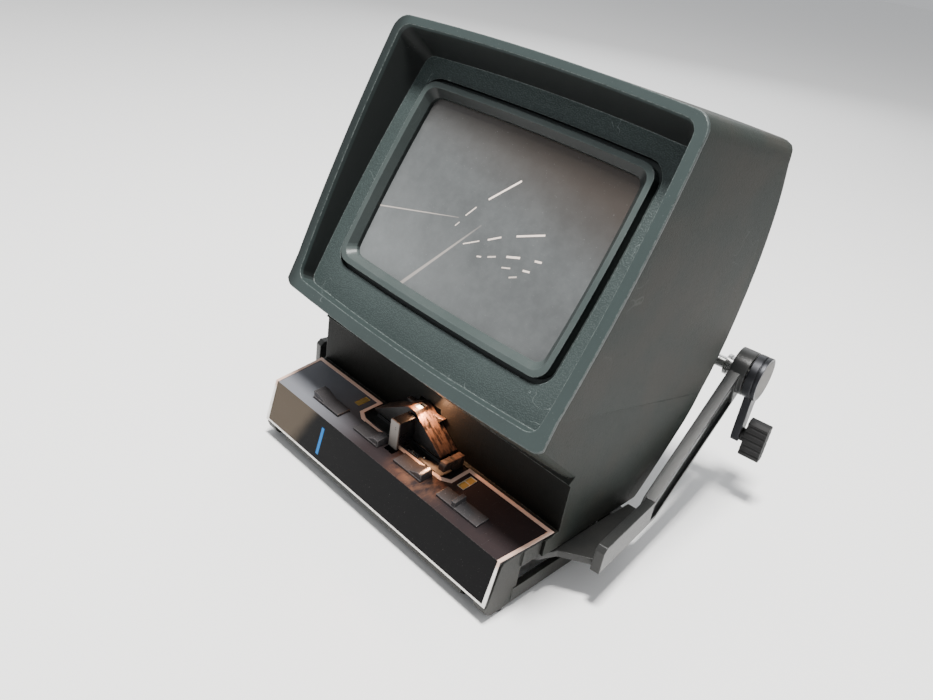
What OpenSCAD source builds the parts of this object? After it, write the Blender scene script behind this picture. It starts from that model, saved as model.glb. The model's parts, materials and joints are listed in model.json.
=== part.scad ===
// Film editor-viewer for 8 mm film, reel arms folded back.
// Axes: X to the viewer's right, Y from the front panel to the rear, Z up from the table.
// All sizes are millimetres. The side view is written in (y, z), with y = 0 at the panel's foot.

/* [Base] */
// Half width of the base and of the panel at its front edge
base_half = 106; // [96:0.5:116]
// Height of the rubber feet
foot_h = 2.5; // [1.5:0.1:4]
// Thickness of a front leg
leg_w = 9; // [6:0.5:14]
// Depth of a front leg from front to back
leg_d = 25.4; // [20:0.1:36]
// Half width of the lower pan between the side windows
pan_half = 86; // [70:0.5:90]
// Wall of the lower pan
pan_wall = 2.5; // [1.5:0.1:4]
// Rear face of the lower pan
pan_rear = 134; // [110:1:136]
// Top of the low bar along each side window
bar_top = 14; // [9:0.1:20]
// Thickness of that bar
bar_t = 4; // [2.5:0.1:6]
// Underside of the rail above the window
rail_z = 30.1; // [29.6:0.1:31]

/* [Panel] */
// Thickness of the bent control panel
panel_t = 2; // [1:0.1:3]
// Width of the bright trim line
trim_w = 2.4; // [1:0.1:4]
// How far the trim stands proud
trim_t = 0.35; // [0.2:0.05:0.8]
// Height of the ribbon along the panel's foot
trim_foot = 1.2; // [0.6:0.1:3]
// Half width of the film gate notch
notch_half = 41.2; // [38:0.1:48]
// Front edge of the notch
notch_y = 26.9; // [26.5:0.1:28]
// Key depth from front to back
key_d = 9.8; // [7:0.1:10.5]
// Height of a key's finger ridge
ridge_h = 5.2; // [3:0.1:8]

/* [Head] */
// Wall of the head shell
shell_t = 3; // [2:0.1:5]
// Thickness of the bezel's cap over the hood's front edge
cap_t = 2.2; // [1:0.1:4]
// How far each side of the head stands out past the base
head_over = 3.5; // [2.5:0.1:6]
// Outward bow of the hood sides
hood_bow = 3; // [1:0.1:6]
// Corner radius of the hood
hood_r = 10; // [6:0.5:16]
// Radius of the rear upright edges
rear_r = 13; // [6:0.5:18]
// Tilt of the hood rim from upright
rim_tilt = 24.5; // [20:0.5:28]
// Fall of the roof towards the rear
roof_fall = 12.8; // [8:0.2:16]

/* [Screen] */
// Tilt of the screen from upright
screen_tilt = 29.6; // [27:0.1:31]
// Half width of the raised screen frame
frame_half = 86.1; // [76:0.1:90]
// Height of the screen frame along the screen
frame_len = 122.7; // [110:0.1:130]
// Width of the frame's flat face
frame_face = 3.4; // [2:0.1:6]
// How far the frame stands in front of the grained plate
frame_proud = 3; // [1:0.1:5]
// Groove between the screen frame and the grained plate
frame_gap = 3; // [0.5:0.1:4]
// Thickness of the screen
screen_t = 2; // [1.5:0.1:3]

/* [Film gate] */
// Width of the film channel between its rails
channel_w = 8.4; // [8.1:0.05:9]
// Middle of the film from front to back
film_y = 31.6; // [31.4:0.1:32]
// Top of the gate bed where the film lies
bed_z = 43.6; // [43:0.1:44.4]
// X of the light beam through the film
beam_x = -2.35; // [-3:0.05:-1]
// Number of sprocket teeth
sprocket_teeth = 8; // [6:1:10]
// Module of the drive gears
gear_m = 0.868; // [0.8:0.001:0.88]
// Teeth of the gear on the sprocket shaft
gear_teeth = 24; // [20:2:28]
// Width of the format lever
lever_w = 7.7; // [7:0.1:9]
// Top of the format lever
lever_top = 63.5; // [60:0.1:68]

/* [Reel arms] */
// Distance of each arm's pivot inside the base's side
pivot_in = 6.6; // [4:0.1:10]
// Pivot distance behind the panel's foot
pivot_y = 45.3; // [44:0.1:48]
// Inward angle of a folded arm
arm_toe = 7; // [4:0.5:9]
// Distance from the pivot to the arm's outer face
arm_out = 37.1; // [35:0.1:40]
// Thickness of the arm's web plate
web_t = 4.6; // [3:0.1:4.7]
// Height of the arm's upright flange above the web's foot
flange_h = 18; // [10:0.5:22]
// Height of the reel spindle above the table
hub_z = 95.7; // [92:0.1:104]
// Distance from pivot to hub along the arm
hub_s = 174.9; // [160:0.1:190]
// Radius of the hub boss and of the crank disc
hub_r = 15.3; // [12:0.1:17]
// Radius of the shaft in the hub
shaft_r = 4.2; // [3:0.1:5]
// Radius of the reel spindle
spindle_r = 4; // [3.6:0.05:4.3]
// Length of the reel spindle
spindle_len = 15.5; // [13:0.1:18]
// Length of the slimmer tip within it
spindle_tip = 3.5; // [2.5:0.1:5]
// Crank throw from the hub to the knob
crank_throw = 44; // [36:0.5:50]
// Length of the paddle knob along the crank
knob_len = 28; // [22:0.5:32]
// Width of the paddle knob across the crank
knob_w = 9; // [8:0.5:14]

/* [Fits] */
// Radial running clearance of a shaft in its hole
run_gap = 0.06; // [0.03:0.01:0.1]
// Clearance between moving pieces that do not guide each other
free_gap = 0.3; // [0.2:0.05:0.5]
// Play of a fixed piece in its seat
seat_gap = 0.1; // [0.05:0.01:0.2]

/* [Hidden] */
$fn = 48;

// Side view of the panel's outer face: foot, bend and rear edge
panel_foot = [0, 12.5];
panel_bend = [6.5, 41.7];
panel_back = [45.9, 45.1];
panel_rear_half = base_half + 3;
rear_foot_x = base_half - 32;
body_half = base_half + head_over;
pivot_x = base_half - pivot_in;
panel_rise = atan2(panel_back[1] - panel_bend[1], panel_back[0] - panel_bend[0]);
panel_lean = atan2(panel_bend[0] - panel_foot[0], panel_bend[1] - panel_foot[1]);

// Side view of the head
floor_z = 31;
neck_y = 50;
neck_z = 80;
ledge_z = 43.7;
shelf_y = 39.3;
rim_foot = [13.6, 112];
rim_len = 179.6;
rim_top = rim_foot + rim_len * [sin(rim_tilt), cos(rim_tilt)];
rear_line = [[138, floor_z], [145, 38.5], [163, 61.2], [179, 85], [188.6, 120], [193.5, 153.9],
    [196.8, 186.6], [197.3, 217.7], [194.6, 241]];
// Middle of the rim's top, higher than its corners by the bow
rim_high = rim_top + hood_bow / cos(rim_tilt - roof_fall) * [sin(rim_tilt), cos(rim_tilt)];
roof_end = [189.3, rim_high[1] - (189.3 - rim_high[0]) * tan(roof_fall)];

// Half widths of the hood rim, and its height seen along the roof
rim_w0 = base_half + 2;
rim_w1 = base_half + 4.9;
hood_h = rim_len * cos(rim_tilt - roof_fall);

// Depth of the grained plate behind the rim's foot
plate_back = 9.8;

// The object's middle, front to back, goes to y = 0
hub_y = pivot_y + arm_out * sin(arm_toe) + hub_s * cos(arm_toe);
disc_out = 12.5;
y_max = hub_y + disc_out * sin(arm_toe) + hub_r * cos(arm_toe);
y_min = -trim_t / cos(panel_lean);
mid_y = (y_max + y_min) / 2;

// Half outline from the bottom middle up the right side to the top middle
function side_x(v, wb, wt, h, b) = wb + (wt - wb) * v / h + 4 * b * (v / h) * (1 - v / h);
function edge_v(x, w, b) = b * (1 - (x / w) * (x / w));
function half_outline(wb, wt, h, b, r, n, m) = concat(
    [for (i = [0:n]) let (x = (wb - r) * i / n) [x, -edge_v(x, wb, b)]],
    [for (i = [1:m - 1]) let (a = -90 + 90 * i / m, c = wb - r)
        [c + (side_x(r, wb, wt, h, b) - c) * cos(a), r + (r + edge_v(c, wb, b)) * sin(a)]],
    [for (i = [0:2 * n]) let (v = r + (h - 2 * r) * i / (2 * n)) [side_x(v, wb, wt, h, b), v]],
    [for (i = [1:m - 1]) let (a = 90 * i / m, c = wt - r)
        [c + (side_x(h - r, wb, wt, h, b) - c) * cos(a), h - r + (r + edge_v(c, wt, b)) * sin(a)]],
    [for (i = [0:n]) let (x = (wt - r) * (1 - i / n)) [x, h + edge_v(x, wt, b)]]);
// Bowed frame outline: half widths wb and wt, height h, bow b, corner radius r
function bowed(wb, wt, h, b, r, n = 5, m = 5) = let (p = half_outline(wb, wt, h, b, r, n, m))
    concat(p, [for (i = [len(p) - 2:-1:1]) [-p[i][0], p[i][1]]]);
function shift(p, dx, dy) = [for (q = p) [q[0] + dx, q[1] + dy]];
// A point of an outline set on a tilted plane through (y, z)
function on_plane(q, o, tilt, back) =
    [q[0], o[0] + q[1] * sin(tilt) + back * cos(tilt), o[1] + q[1] * cos(tilt) - back * sin(tilt)];
// Smooth curve through the points p, with n steps between neighbours
function spline_pt(a, b, c, d, t) = 0.5 * (2 * b + (c - a) * t + (2 * a - 5 * b + 4 * c - d) * t * t
    + (3 * b - a - 3 * c + d) * t * t * t);
function spline(p, n) = concat([for (i = [0:len(p) - 2]) for (k = [0:n - 1])
    spline_pt(p[max(i - 1, 0)], p[i], p[i + 1], p[min(i + 2, len(p) - 1)], k / n)], [p[len(p) - 1]]);
// Outline p, counterclockwise, moved inwards by t
function unit(v) = v / norm(v);
function inset_pt(a, b, c, t) = let (u = unit(b - a), v = unit(c - b), n1 = [-u[1], u[0]], n2 = [-v[1], v[0]])
    b + t * (n1 + n2) / (1 + n1 * n2);
function inset(p, t) = let (n = len(p))
    [for (i = [0:n - 1]) inset_pt(p[(i + n - 1) % n], p[i], p[(i + 1) % n], t)];

module placed() {
    translate([0, -mid_y, 0])
        children();
}

// Extrudes a (y, z) outline along X from x0 to x1
module along_x(x0, x1) {
    translate([x0, 0, 0])
        rotate([90, 0, 90])
            linear_extrude(x1 - x0)
                children();
}

// Extrudes an (x, z) outline along Y from y0 to y1
module along_y(y0, y1) {
    translate([0, y1, 0])
        rotate([90, 0, 0])
            linear_extrude(y1 - y0)
                children();
}

module rod_y(x, z, r, y0, y1) {
    translate([x, y1, z])
        rotate([90, 0, 0])
            cylinder(r = r, h = y1 - y0);
}

module block(x0, x1, y0, y1, z0, z1) {
    translate([x0, y0, z0])
        cube([x1 - x0, y1 - y0, z1 - z0]);
}

module both_sides() {
    children();
    mirror([1, 0, 0])
        children();
}

// Skin between two outlines with the same number of points
module loft(p, q) {
    n = len(p);
    polyhedron(points = concat(p, q), faces = concat(
        [[for (i = [n - 1:-1:0]) i]],
        [[for (i = [0:n - 1]) n + i]],
        [for (i = [0:n - 1]) [i, (i + 1) % n, n + i]],
        [for (i = [0:n - 1]) [(i + 1) % n, n + (i + 1) % n, n + i]]));
}

// Local frame on the panel's top: x across, y up the slope, z out of the panel
module on_panel() {
    translate([0, panel_bend[0], panel_bend[1]])
        rotate([panel_rise, 0, 0])
            children();
}

// Top of what lies under the panel
function under_panel(y, gap) = panel_bend[1] + (y - panel_bend[0]) * tan(panel_rise) - (panel_t + gap) / cos(panel_rise);
function behind_panel(z, gap) = (z - panel_foot[1]) * tan(panel_lean) + (panel_t + gap) / cos(panel_lean);

module leg() {
    fy = behind_panel(12.5, seat_gap);
    top_y = behind_panel(38, seat_gap);
    along_x(base_half - leg_w, base_half) {
        difference() {
            polygon([[8, foot_h], [leg_d, foot_h], [leg_d, under_panel(leg_d, seat_gap)],
                [top_y + 1.5, under_panel(top_y + 1.5, seat_gap)], [top_y, 38], [fy, 11.6], [0.9, 11.6],
                [1.2, 9], [2.4, 6], [4.6, 3.8]]);
            // Shallow step along the leg's rear edge
            translate([leg_d - 1, foot_h - 1])
                square([2, 4]);
        }
    }
}

module rail() {
    along_x(base_half - 10, base_half + 1.2)
        polygon([[leg_d - 1, rail_z], [shelf_y - seat_gap, rail_z], [shelf_y - seat_gap, under_panel(shelf_y, seat_gap)],
            [leg_d - 1, under_panel(leg_d, seat_gap)]]);
}

module low_bar() {
    along_x(base_half + 0.6 - bar_t, base_half + 0.6)
        polygon([[leg_d - 3, foot_h + 1.2], [pan_rear, foot_h + 1.2], [pan_rear, bar_top], [leg_d - 3, bar_top]]);
}

module pan_outline(w, top_gap) {
    polygon([[6 + w, foot_h + w], [pan_rear - w, foot_h + w], [pan_rear - w, floor_z - top_gap],
        [shelf_y - seat_gap - w, floor_z - top_gap], [shelf_y - seat_gap - w, under_panel(shelf_y - w, top_gap)],
        [behind_panel(39, free_gap) + w, under_panel(8, top_gap)], [behind_panel(12.5, free_gap) + w, 12.5],
        [behind_panel(12.5, free_gap) + w, 6 + w]]);
}

screw_xy = [[-78, 62], [78, 62], [-78, 124], [78, 124]];
post_r = 4.5;
screw_r = 1.5;

module base_frame() {
    color("dimgray")
        placed() {
            difference() {
                union() {
                    along_x(-pan_half, pan_half)
                        pan_outline(0, free_gap);
                    both_sides() {
                        leg();
                        rail();
                        low_bar();
                        // Rear cross bar and front web
                        block(pan_half - 1, base_half + 0.6 - bar_t + 1, pan_rear - 12, pan_rear, foot_h, bar_top);
                        block(pan_half - 1, base_half - leg_w + 1, 8, 12, foot_h, 34);
                    }
                }
                difference() {
                    along_x(-pan_half + pan_wall, pan_half - pan_wall)
                        union() {
                            pan_outline(pan_wall, -1);
                            translate([pan_rear / 2, floor_z - 8])
                                square([pan_rear / 2 - pan_wall, 12]);
                        }
                    for (p = screw_xy)
                        translate([p[0], p[1], 0])
                            cylinder(r = post_r, h = 60);
                }
                for (p = screw_xy)
                    translate([p[0], p[1], 0]) {
                        cylinder(r = screw_r + seat_gap, h = 60);
                        cylinder(r = 3.2, h = foot_h + 1.8);
                    }
                // Well of the film gate in the cross rib, and the way for the drive gear
                block(-well_half, well_half, shelf_y - pan_wall - 1, shelf_y + 1, rib_top, 60);
                block(beam_x - 8, spr_x + gear_r(gear_teeth) + 2, shelf_y - pan_wall - 1, shelf_y + 1, 26, 60);
                // Hole for the cable gland
                rod_y(-60, 16, 4.1, pan_rear - 5, pan_rear + 5);
                // Cooling slots in the pan floor under the lamp
                for (i = [-3:3])
                    block(beam_x + i * 5 - 1.2, beam_x + i * 5 + 1.2, 44, 66, 0, foot_h + pan_wall + 1);
                // Seats of the feet
                for (s = [-1, 1])
                    translate([s * rear_foot_x, 110, foot_h - 1])
                        cylinder(r = 5.1, h = 2.2);
                // Room for the arms' pivot pins
                both_sides()
                    translate([pivot_x, pivot_y, web_z - 3])
                        cylinder(r = 4.8 + free_gap, h = rail_z + 3 - web_z);
            }
        }
}

module feet() {
    color("black")
        placed()
            both_sides() {
                translate([base_half - leg_w / 2, 16, 0])
                    cylinder(r = 4, h = foot_h);
                translate([rear_foot_x, 110, 0]) {
                    cylinder(r1 = 5.4, r2 = 6, h = foot_h);
                    cylinder(r = 5, h = foot_h + 1.1);
                }
            }
}

module pan_screws() {
    color("silver")
        placed()
            for (p = screw_xy)
                translate([p[0], p[1], 0]) {
                    difference() {
                        translate([0, 0, foot_h + 0.2])
                            cylinder(r = 3, h = 1.6);
                        translate([-0.4, -4, foot_h - 0.4])
                            cube([0.8, 8, 1.2]);
                    }
                    translate([0, 0, foot_h + 1.8])
                        cylinder(r = screw_r, h = floor_z + shell_t + 1 - foot_h - 1.8);
                }
}

module cable_gland() {
    color("black")
        placed()
            difference() {
                union() {
                    rod_y(-60, 16, 4, pan_rear - 4.5, pan_rear + 1);
                    rod_y(-60, 16, 5.5, pan_rear, pan_rear + 3);
                    rod_y(-60, 16, 4.2, pan_rear + 2, pan_rear + 9);
                }
                rod_y(-60, 16, 2.4, pan_rear - 6, pan_rear + 10);
                for (k = [0:1])
                    block(-66, -54, pan_rear + 4.6 + 2.2 * k, pan_rear + 5.6 + 2.2 * k, 16 - 0.9, 16 + 0.9);
            }
}

core_x = -48;
core_y = 84;
module transformer_core() {
    color("gray")
        placed() {
            difference() {
                block(core_x - 20, core_x + 20, core_y - 9, core_y + 9, foot_h + pan_wall, floor_z - 1.2);
                // Windows on both sides of the middle limb
                for (s = [-1, 1])
                    block(core_x + s * 10 - 4, core_x + s * 10 + 4, core_y - 12, core_y + 12, 10, floor_z - 6);
            }
            for (s = [-1, 1])
                block(core_x + s * 23.9 - 4, core_x + s * 23.9 + 4, core_y - 6, core_y + 6, foot_h + pan_wall, foot_h + pan_wall + 1.5);
        }
}

module transformer_coil() {
    color("peru")
        placed()
            difference() {
                block(core_x - 13.8, core_x + 13.8, core_y - 15, core_y + 15, 10.2, floor_z - 6.2);
                block(core_x - 6.2, core_x + 6.2, core_y - 9.2, core_y + 9.2, 8, floor_z - 4);
            }
}

// Outer face moved outwards by o, as foot, bend and back points
function band_pts(o) = let (a = unit(panel_bend - panel_foot), b = unit(panel_back - panel_bend),
    na = [-a[1], a[0]], nb = [-b[1], b[0]])
    [panel_foot + o * na, panel_bend + o * (na + nb) / (1 + na * nb), panel_back + o * nb];

module band(out, in) {
    a = band_pts(out);
    b = band_pts(-in);
    polygon([a[0], a[1], a[2], b[2], b[1], b[0]]);
}

function edge_half(y) = base_half - 0.7 + (panel_rear_half - base_half + 0.7) * (y - panel_bend[0]) / (panel_back[0] - panel_bend[0]);

module plan_outline(in) {
    polygon([[-base_half + in, -3], [base_half - in, -3], [base_half - in, 1], [edge_half(panel_bend[0]) - in, panel_bend[0]],
        [edge_half(panel_back[0]) - in, panel_back[0] - in],
        [-edge_half(panel_back[0]) + in, panel_back[0] - in], [-edge_half(panel_bend[0]) + in, panel_bend[0]],
        [-base_half + in, 1]]);
}

// Film gate notch, widened by w
module notch(w) {
    polygon([[-notch_half - w, 60], [-notch_half - w, notch_y + 3.3 - 0.6 * w], [-notch_half + 5.6 - 0.7 * w, notch_y + 0.5 - w],
        [-notch_half + 14, notch_y - w], [notch_half - 14, notch_y - w], [notch_half - 5.6 + 0.7 * w, notch_y + 0.5 - w],
        [notch_half + w, notch_y + 3.3 - 0.6 * w], [notch_half + w, 60]]);
}

// Keys: left end, right end, and front edge up the slope
key_v = 7.9;
mark_x = [-74, -48];
focus_x = [-32, -8];
frame_x = [7, 32];
lamp_x = [45.5, 79];
key_lift = 0.2;
pad_h = 1.4;
stem_w = 5;
stem_d = 5;
stem_len = 7;
focus_range = [-6, 1];
frame_range = [-4, 4];
lamp_range = [0, 5];
lever_pull = 3;
mark_pivot = mark_x[1] - 2;
lever_x = [beam_x - lever_w / 2, beam_x + lever_w / 2];
lever_front = 21.4;

module key_slot(x0, x1) {
    translate([x0, key_v + (key_d - stem_d) / 2 - seat_gap, -5])
        cube([x1 - x0, stem_d + 2 * seat_gap, 10]);
}

module control_panel() {
    color([0.1, 0.1, 0.12])
        placed()
            difference() {
                intersection() {
                    along_x(-panel_rear_half - 2, panel_rear_half + 2)
                        band(0, panel_t);
                    linear_extrude(60)
                        plan_outline(0);
                }
                linear_extrude(60)
                    notch(0);
                on_panel() {
                    key_slot(mid(focus_x) - stem_w / 2 + focus_range[0] - free_gap, mid(focus_x) + stem_w / 2 + focus_range[1] + free_gap);
                    key_slot(mid(frame_x) - stem_w / 2 + frame_range[0] - free_gap, mid(frame_x) + stem_w / 2 + frame_range[1] + free_gap);
                    key_slot(mid(lamp_x) - stem_w / 2 + lamp_range[0] - free_gap, mid(lamp_x) + stem_w / 2 + lamp_range[1] + free_gap);
                    // The marking key drops through its own window
                    translate([mark_x[0] - 1, key_v - free_gap, -5])
                        cube([mark_x[1] - mark_x[0] + 1.4, key_d + 2 * free_gap, 10]);
                }
                // Slot of the format lever
                block(lever_x[0] - free_gap, lever_x[1] + free_gap, lever_front - lever_pull - free_gap, lever_front + 2.2, 30, 60);
            }
}

function mid(p) = (p[0] + p[1]) / 2;

module panel_trim() {
    color("silver")
        placed() {
            // Top: rear edge, round the notch, and both side edges
            intersection() {
                along_x(-panel_rear_half - 2, panel_rear_half + 2)
                    band(trim_t, 0);
                linear_extrude(60)
                    difference() {
                        plan_outline(0);
                        difference() {
                            plan_outline(trim_w);
                            notch(trim_w);
                        }
                        notch(0);
                        translate([-150, -20])
                            square([300, 20 + panel_bend[0]]);
                    }
            }
            // Front: side edges and foot
            intersection() {
                along_x(-panel_rear_half - 2, panel_rear_half + 2)
                    band(trim_t, 0);
                linear_extrude(60)
                    plan_outline(0);
                along_y(-5, panel_bend[0])
                    difference() {
                        translate([-base_half - 20, 5])
                            square([2 * base_half + 40, 50]);
                        translate([-base_half + trim_w, panel_foot[1] + trim_foot])
                            square([2 * (base_half - trim_w), 60]);
                    }
            }
        }
}

// Finger key: a flat pad with a wedge that rises from w0 to w1
module key_body(x0, x1, w0, w1) {
    translate([0, key_v, key_lift]) {
        cube_x(x0, x1, key_d, pad_h);
        translate([0, 0.4, 0])
            rotate([90, 0, 0])
                mirror([0, 0, 1])
                    linear_extrude(key_d - 0.8)
                        polygon([[w0, pad_h / 2], [w1, pad_h / 2], [w1, ridge_h], [w1 - sign(w1 - w0) * 4, ridge_h], [w0, pad_h]]);
    }
}

module cube_x(x0, x1, d, h) {
    translate([min(x0, x1), 0, 0])
        cube([abs(x1 - x0), d, h]);
}

// Stem through the panel with a retaining foot under it
module key_stem(x) {
    translate([x - stem_w / 2, key_v + (key_d - stem_d) / 2, -stem_len])
        cube([stem_w, stem_d, stem_len + key_lift + 0.5]);
    translate([x - stem_w / 2 - 2, key_v + (key_d - stem_d) / 2 - 1.5, -stem_len])
        cube([stem_w + 4, stem_d + 3, stem_len - panel_t - free_gap]);
}

module focus_key() {
    color("darkslategray")
        placed()
            on_panel() {
                key_body(focus_x[0], focus_x[1], focus_x[0] + 13, focus_x[1]);
                key_stem(mid(focus_x));
            }
}

module frame_key() {
    color("darkslategray")
        placed()
            on_panel() {
                key_body(frame_x[0], frame_x[1], frame_x[0] + 13, frame_x[1]);
                key_stem(mid(frame_x));
            }
}

module lamp_key() {
    color("darkslategray")
        placed()
            on_panel() {
                translate([0, key_v, key_lift]) {
                    cube_x(lamp_x[0], lamp_x[1], key_d, pad_h);
                    // Thin upright finger ridge
                    translate([lamp_x[0] + 12.5, 0.3, 0])
                        cube([3, key_d - 0.6, ridge_h]);
                }
                key_stem(mid(lamp_x));
            }
}

// Marking key, which turns about a pin under its right end
module mark_key() {
    color("darkslategray")
        placed()
            on_panel() {
                difference() {
                    union() {
                        key_body(mark_x[1], mark_x[0], mark_x[1] - 13, mark_x[0]);
                        // Tongue down to the pin, and the punch at the left end
                        translate([mark_pivot - 2, key_v + 1, -5.5])
                            cube([4, key_d - 2, 6]);
                        translate([mark_x[0] + 3, key_v + key_d / 2 - 1, -9])
                            cube([2.4, 2, 9.5]);
                    }
                    translate([mark_pivot, key_v + key_d, -4.2])
                        rotate([90, 0, 0])
                            cylinder(r = 1 + run_gap, h = key_d);
                }
            }
}

module lamp_switch() {
    color("dimgray")
        placed()
            on_panel() {
                // Switch case hung on two lugs below the panel
                translate([mid(lamp_x) - 11, key_v - 2, -24])
                    cube([22, 13, 24 - stem_len - free_gap]);
                for (s = [-1, 1])
                    translate([mid(lamp_x) + s * 13 - 2.5, key_v - 2, -14])
                        cube([5, 13, 14 - panel_t]);
                // Pin of the marking key with its two cheeks
                for (s = [0, 1])
                    translate([mark_pivot - 2, key_v - 2.6 + s * (key_d + 2.6 + 0.6), -7])
                        cube([4, 2, 7 - panel_t]);
                translate([mark_pivot, key_v + key_d + 1, -4.2])
                    rotate([90, 0, 0])
                        cylinder(r = 1, h = key_d + 2);
            }
}

rear_pts = spline(rear_line, 3);
under_dir = unit([neck_y, neck_z] - rim_foot);
// Lowest point of the bowed rim, along the rim
under_bow = hood_bow / cos(rim_tilt + atan2(under_dir[1], under_dir[0]));
head_profile = concat([[shelf_y, floor_z]], rear_pts,
    [roof_end, rim_high, rim_foot - under_bow * [sin(rim_tilt), cos(rim_tilt)], [neck_y, neck_z - hood_bow / under_dir[0]],
    [neck_y, ledge_z], [panel_back[0] + 0.3, ledge_z], [panel_back[0] + 0.3, under_panel(panel_back[0], seat_gap)],
    [shelf_y, under_panel(shelf_y, seat_gap)]]);

// Half width of the head at a point of its side view
function hood_v(y, z) = (y - rim_foot[0]) * sin(roof_fall) + (z - rim_foot[1]) * cos(roof_fall);
function head_half(y, z) = let (v = hood_v(y, z)) v < 16 ? body_half
    : max(body_half, side_x(min(v, hood_h), rim_w0, rim_w1, hood_h, hood_bow));

// Prism of the front outline, drawn along the roof's fall
module hood_prism(t, ahead) {
    translate([0, rim_foot[0], rim_foot[1]])
        rotate([90 - roof_fall, 0, 0])
            translate([0, 0, -260])
                linear_extrude(260 + ahead) {
                    polygon(shift(bowed(rim_w0 - t, rim_w1 - t, hood_h - 2 * t, hood_bow, hood_r - t / 2), 0, t));
                    translate([-body_half + t, -170])
                        square([2 * (body_half - t), 188]);
                }
}

// Rounds the upright rear edges: slices with corner radius r, set t inside the head
module rear_rounding(t, r, m) {
    a = concat([rear_pts[0] - [0, 12]], rear_pts, [rear_pts[len(rear_pts) - 1] + [-3, 60]]);
    ring = [for (p = a) let (w = head_half(p[0], p[1]) + 0.4 - t, y = p[0] + 0.4 - t, z = p[1])
        concat([[w, -40, z]],
            [for (i = [0:m]) [w - r + r * cos(90 * i / m), y - r + r * sin(90 * i / m), z]],
            [for (i = [m:-1:0]) [-w + r - r * cos(90 * i / m), y - r + r * sin(90 * i / m), z]],
            [[-w, -40, z]])];
    n = len(ring[0]);
    k = len(ring);
    polyhedron(points = [for (s = ring) for (q = s) q], faces = concat(
        [[for (i = [0:n - 1]) i]],
        [[for (i = [n - 1:-1:0]) (k - 1) * n + i]],
        [for (j = [0:k - 2]) for (i = [0:n - 1]) [j * n + i, (j + 1) * n + i, j * n + (i + 1) % n]],
        [for (j = [0:k - 2]) for (i = [0:n - 1]) [j * n + (i + 1) % n, (j + 1) * n + i, (j + 1) * n + (i + 1) % n]]));
}

cover_half = 58;
cover_len = 46;
cover_lift = 0.6;
cover_tilt = atan2(rear_line[6][0] - rear_line[5][0], rear_line[6][1] - rear_line[5][1]);

// Local frame on the rear wall: x across, y up, z out of it
module on_rear() {
    translate([0, rear_line[5][0] + cover_lift, rear_line[5][1]])
        rotate([90 - cover_tilt, 0, 0])
            mirror([0, 0, 1])
                children();
}

// Cuts the hood's underside to a bowed face, set t inside it
module under_cut(t) {
    r = 7 - t / 2;
    w = body_half - t;
    translate([0, rim_foot[0], rim_foot[1]])
        rotate([-90 + atan2(under_dir[1], under_dir[0]), 0, 0])
            translate([0, 0, -12])
                linear_extrude(norm([neck_y, neck_z] - rim_foot) + 12)
                    difference() {
                        translate([-130, -8])
                            square([260, 30]);
                        mirror([0, 1])
                            polygon(shift(bowed(w, w, 60, hood_bow, r), 0, t));
                    }
}

opening_half = 12.5;
neck_hole = [54, 67];

module head_shell() {
    color([0.2, 0.27, 0.26])
        placed()
            difference() {
                union() {
                    shell();
                    both_sides()
                        pivot_boss();
                }
                both_sides()
                    translate([pivot_x, pivot_y, rail_z - 1])
                        cylinder(r = pin_r + seat_gap, h = 10);
            }
}

// What lies in front of a plane d behind the hood's rim
module ahead_of_rim(d) {
    back = [cos(rim_tilt), -sin(rim_tilt)];
    up = [sin(rim_tilt), cos(rim_tilt)];
    along_x(-130, 130)
        polygon([for (q = [[d, -20], [d, 230], [-60, 230], [-60, -20]]) rim_foot + q[0] * back + q[1] * up]);
}

module shell() {
    difference() {
        intersection() {
            along_x(-130, 130)
                polygon(head_profile);
            hood_prism(0, 60);
            rear_rounding(0, rear_r, 5);
        }
        ahead_of_rim(cap_t);
        // Hollow inside
        difference() {
            intersection() {
                along_x(-130, 130)
                    polygon(inset(head_profile, shell_t));
                hood_prism(shell_t, 60);
                rear_rounding(shell_t, rear_r, 1);
            }
            under_cut(shell_t);
        }
        // Mouth of the hood
        difference() {
            intersection() {
                hood_prism(shell_t, 60);
                along_x(-130, 130)
                    polygon([rim_foot + [-40, 20], rim_foot + [-4, -6], [neck_y - 2, neck_z - 1], [150, 180],
                        [100, rim_top[1] + 5], rim_top + [-40, 14]]);
            }
            under_cut(shell_t);
        }
        under_cut(0);
        // Light opening in the neck
        along_y(neck_y - 1, neck_y + shell_t + 1)
            polygon([[beam_x - opening_half, neck_hole[0]], [beam_x + opening_half, neck_hole[0]],
                [beam_x + opening_half - 3, neck_hole[1]], [beam_x - opening_half + 3, neck_hole[1]]]);
        // Well of the film gate in the shelf, and the way for the drive gear
        block(-well_half, well_half, shelf_y - 1, bed_y[1] + 1.2, rib_top, ledge_z + 2);
        block(spr_x - gear_r(gear_teeth) - 2, spr_x + gear_r(gear_teeth) + 2, shelf_y - 1, bed_y[1] + 1.2, floor_z - 1, rib_top + 1);
        // Wiring hole in the floor
        block(30, 60, 70, 95, floor_z - 1, floor_z + shell_t + 1);
        for (p = screw_xy)
            translate([p[0], p[1], floor_z - 1])
                cylinder(r = screw_r + seat_gap, h = shell_t + 2);
        // Opening behind the rear cover
        on_rear()
            translate([-cover_half + 5, 6, -8])
                cube([2 * cover_half - 10, cover_len - 12, 16]);
        on_rear()
            for (p = cover_holes)
                translate([p[0], p[1], -8])
                    cylinder(r = 1.2 + seat_gap, h = 16);
    }
}

boss_r = 8;
pin_r = 3;
module pivot_boss() {
    intersection() {
        translate([pivot_x, pivot_y, rail_z])
            cylinder(r = boss_r, h = 12);
        along_x(0, 130)
            polygon([[shelf_y, 0], [shelf_y, under_panel(shelf_y, seat_gap)],
                [panel_back[0] + 0.3, under_panel(panel_back[0], seat_gap)], [panel_back[0] + 0.3, ledge_z], [60, ledge_z], [60, 0]]);
    }
}

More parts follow.
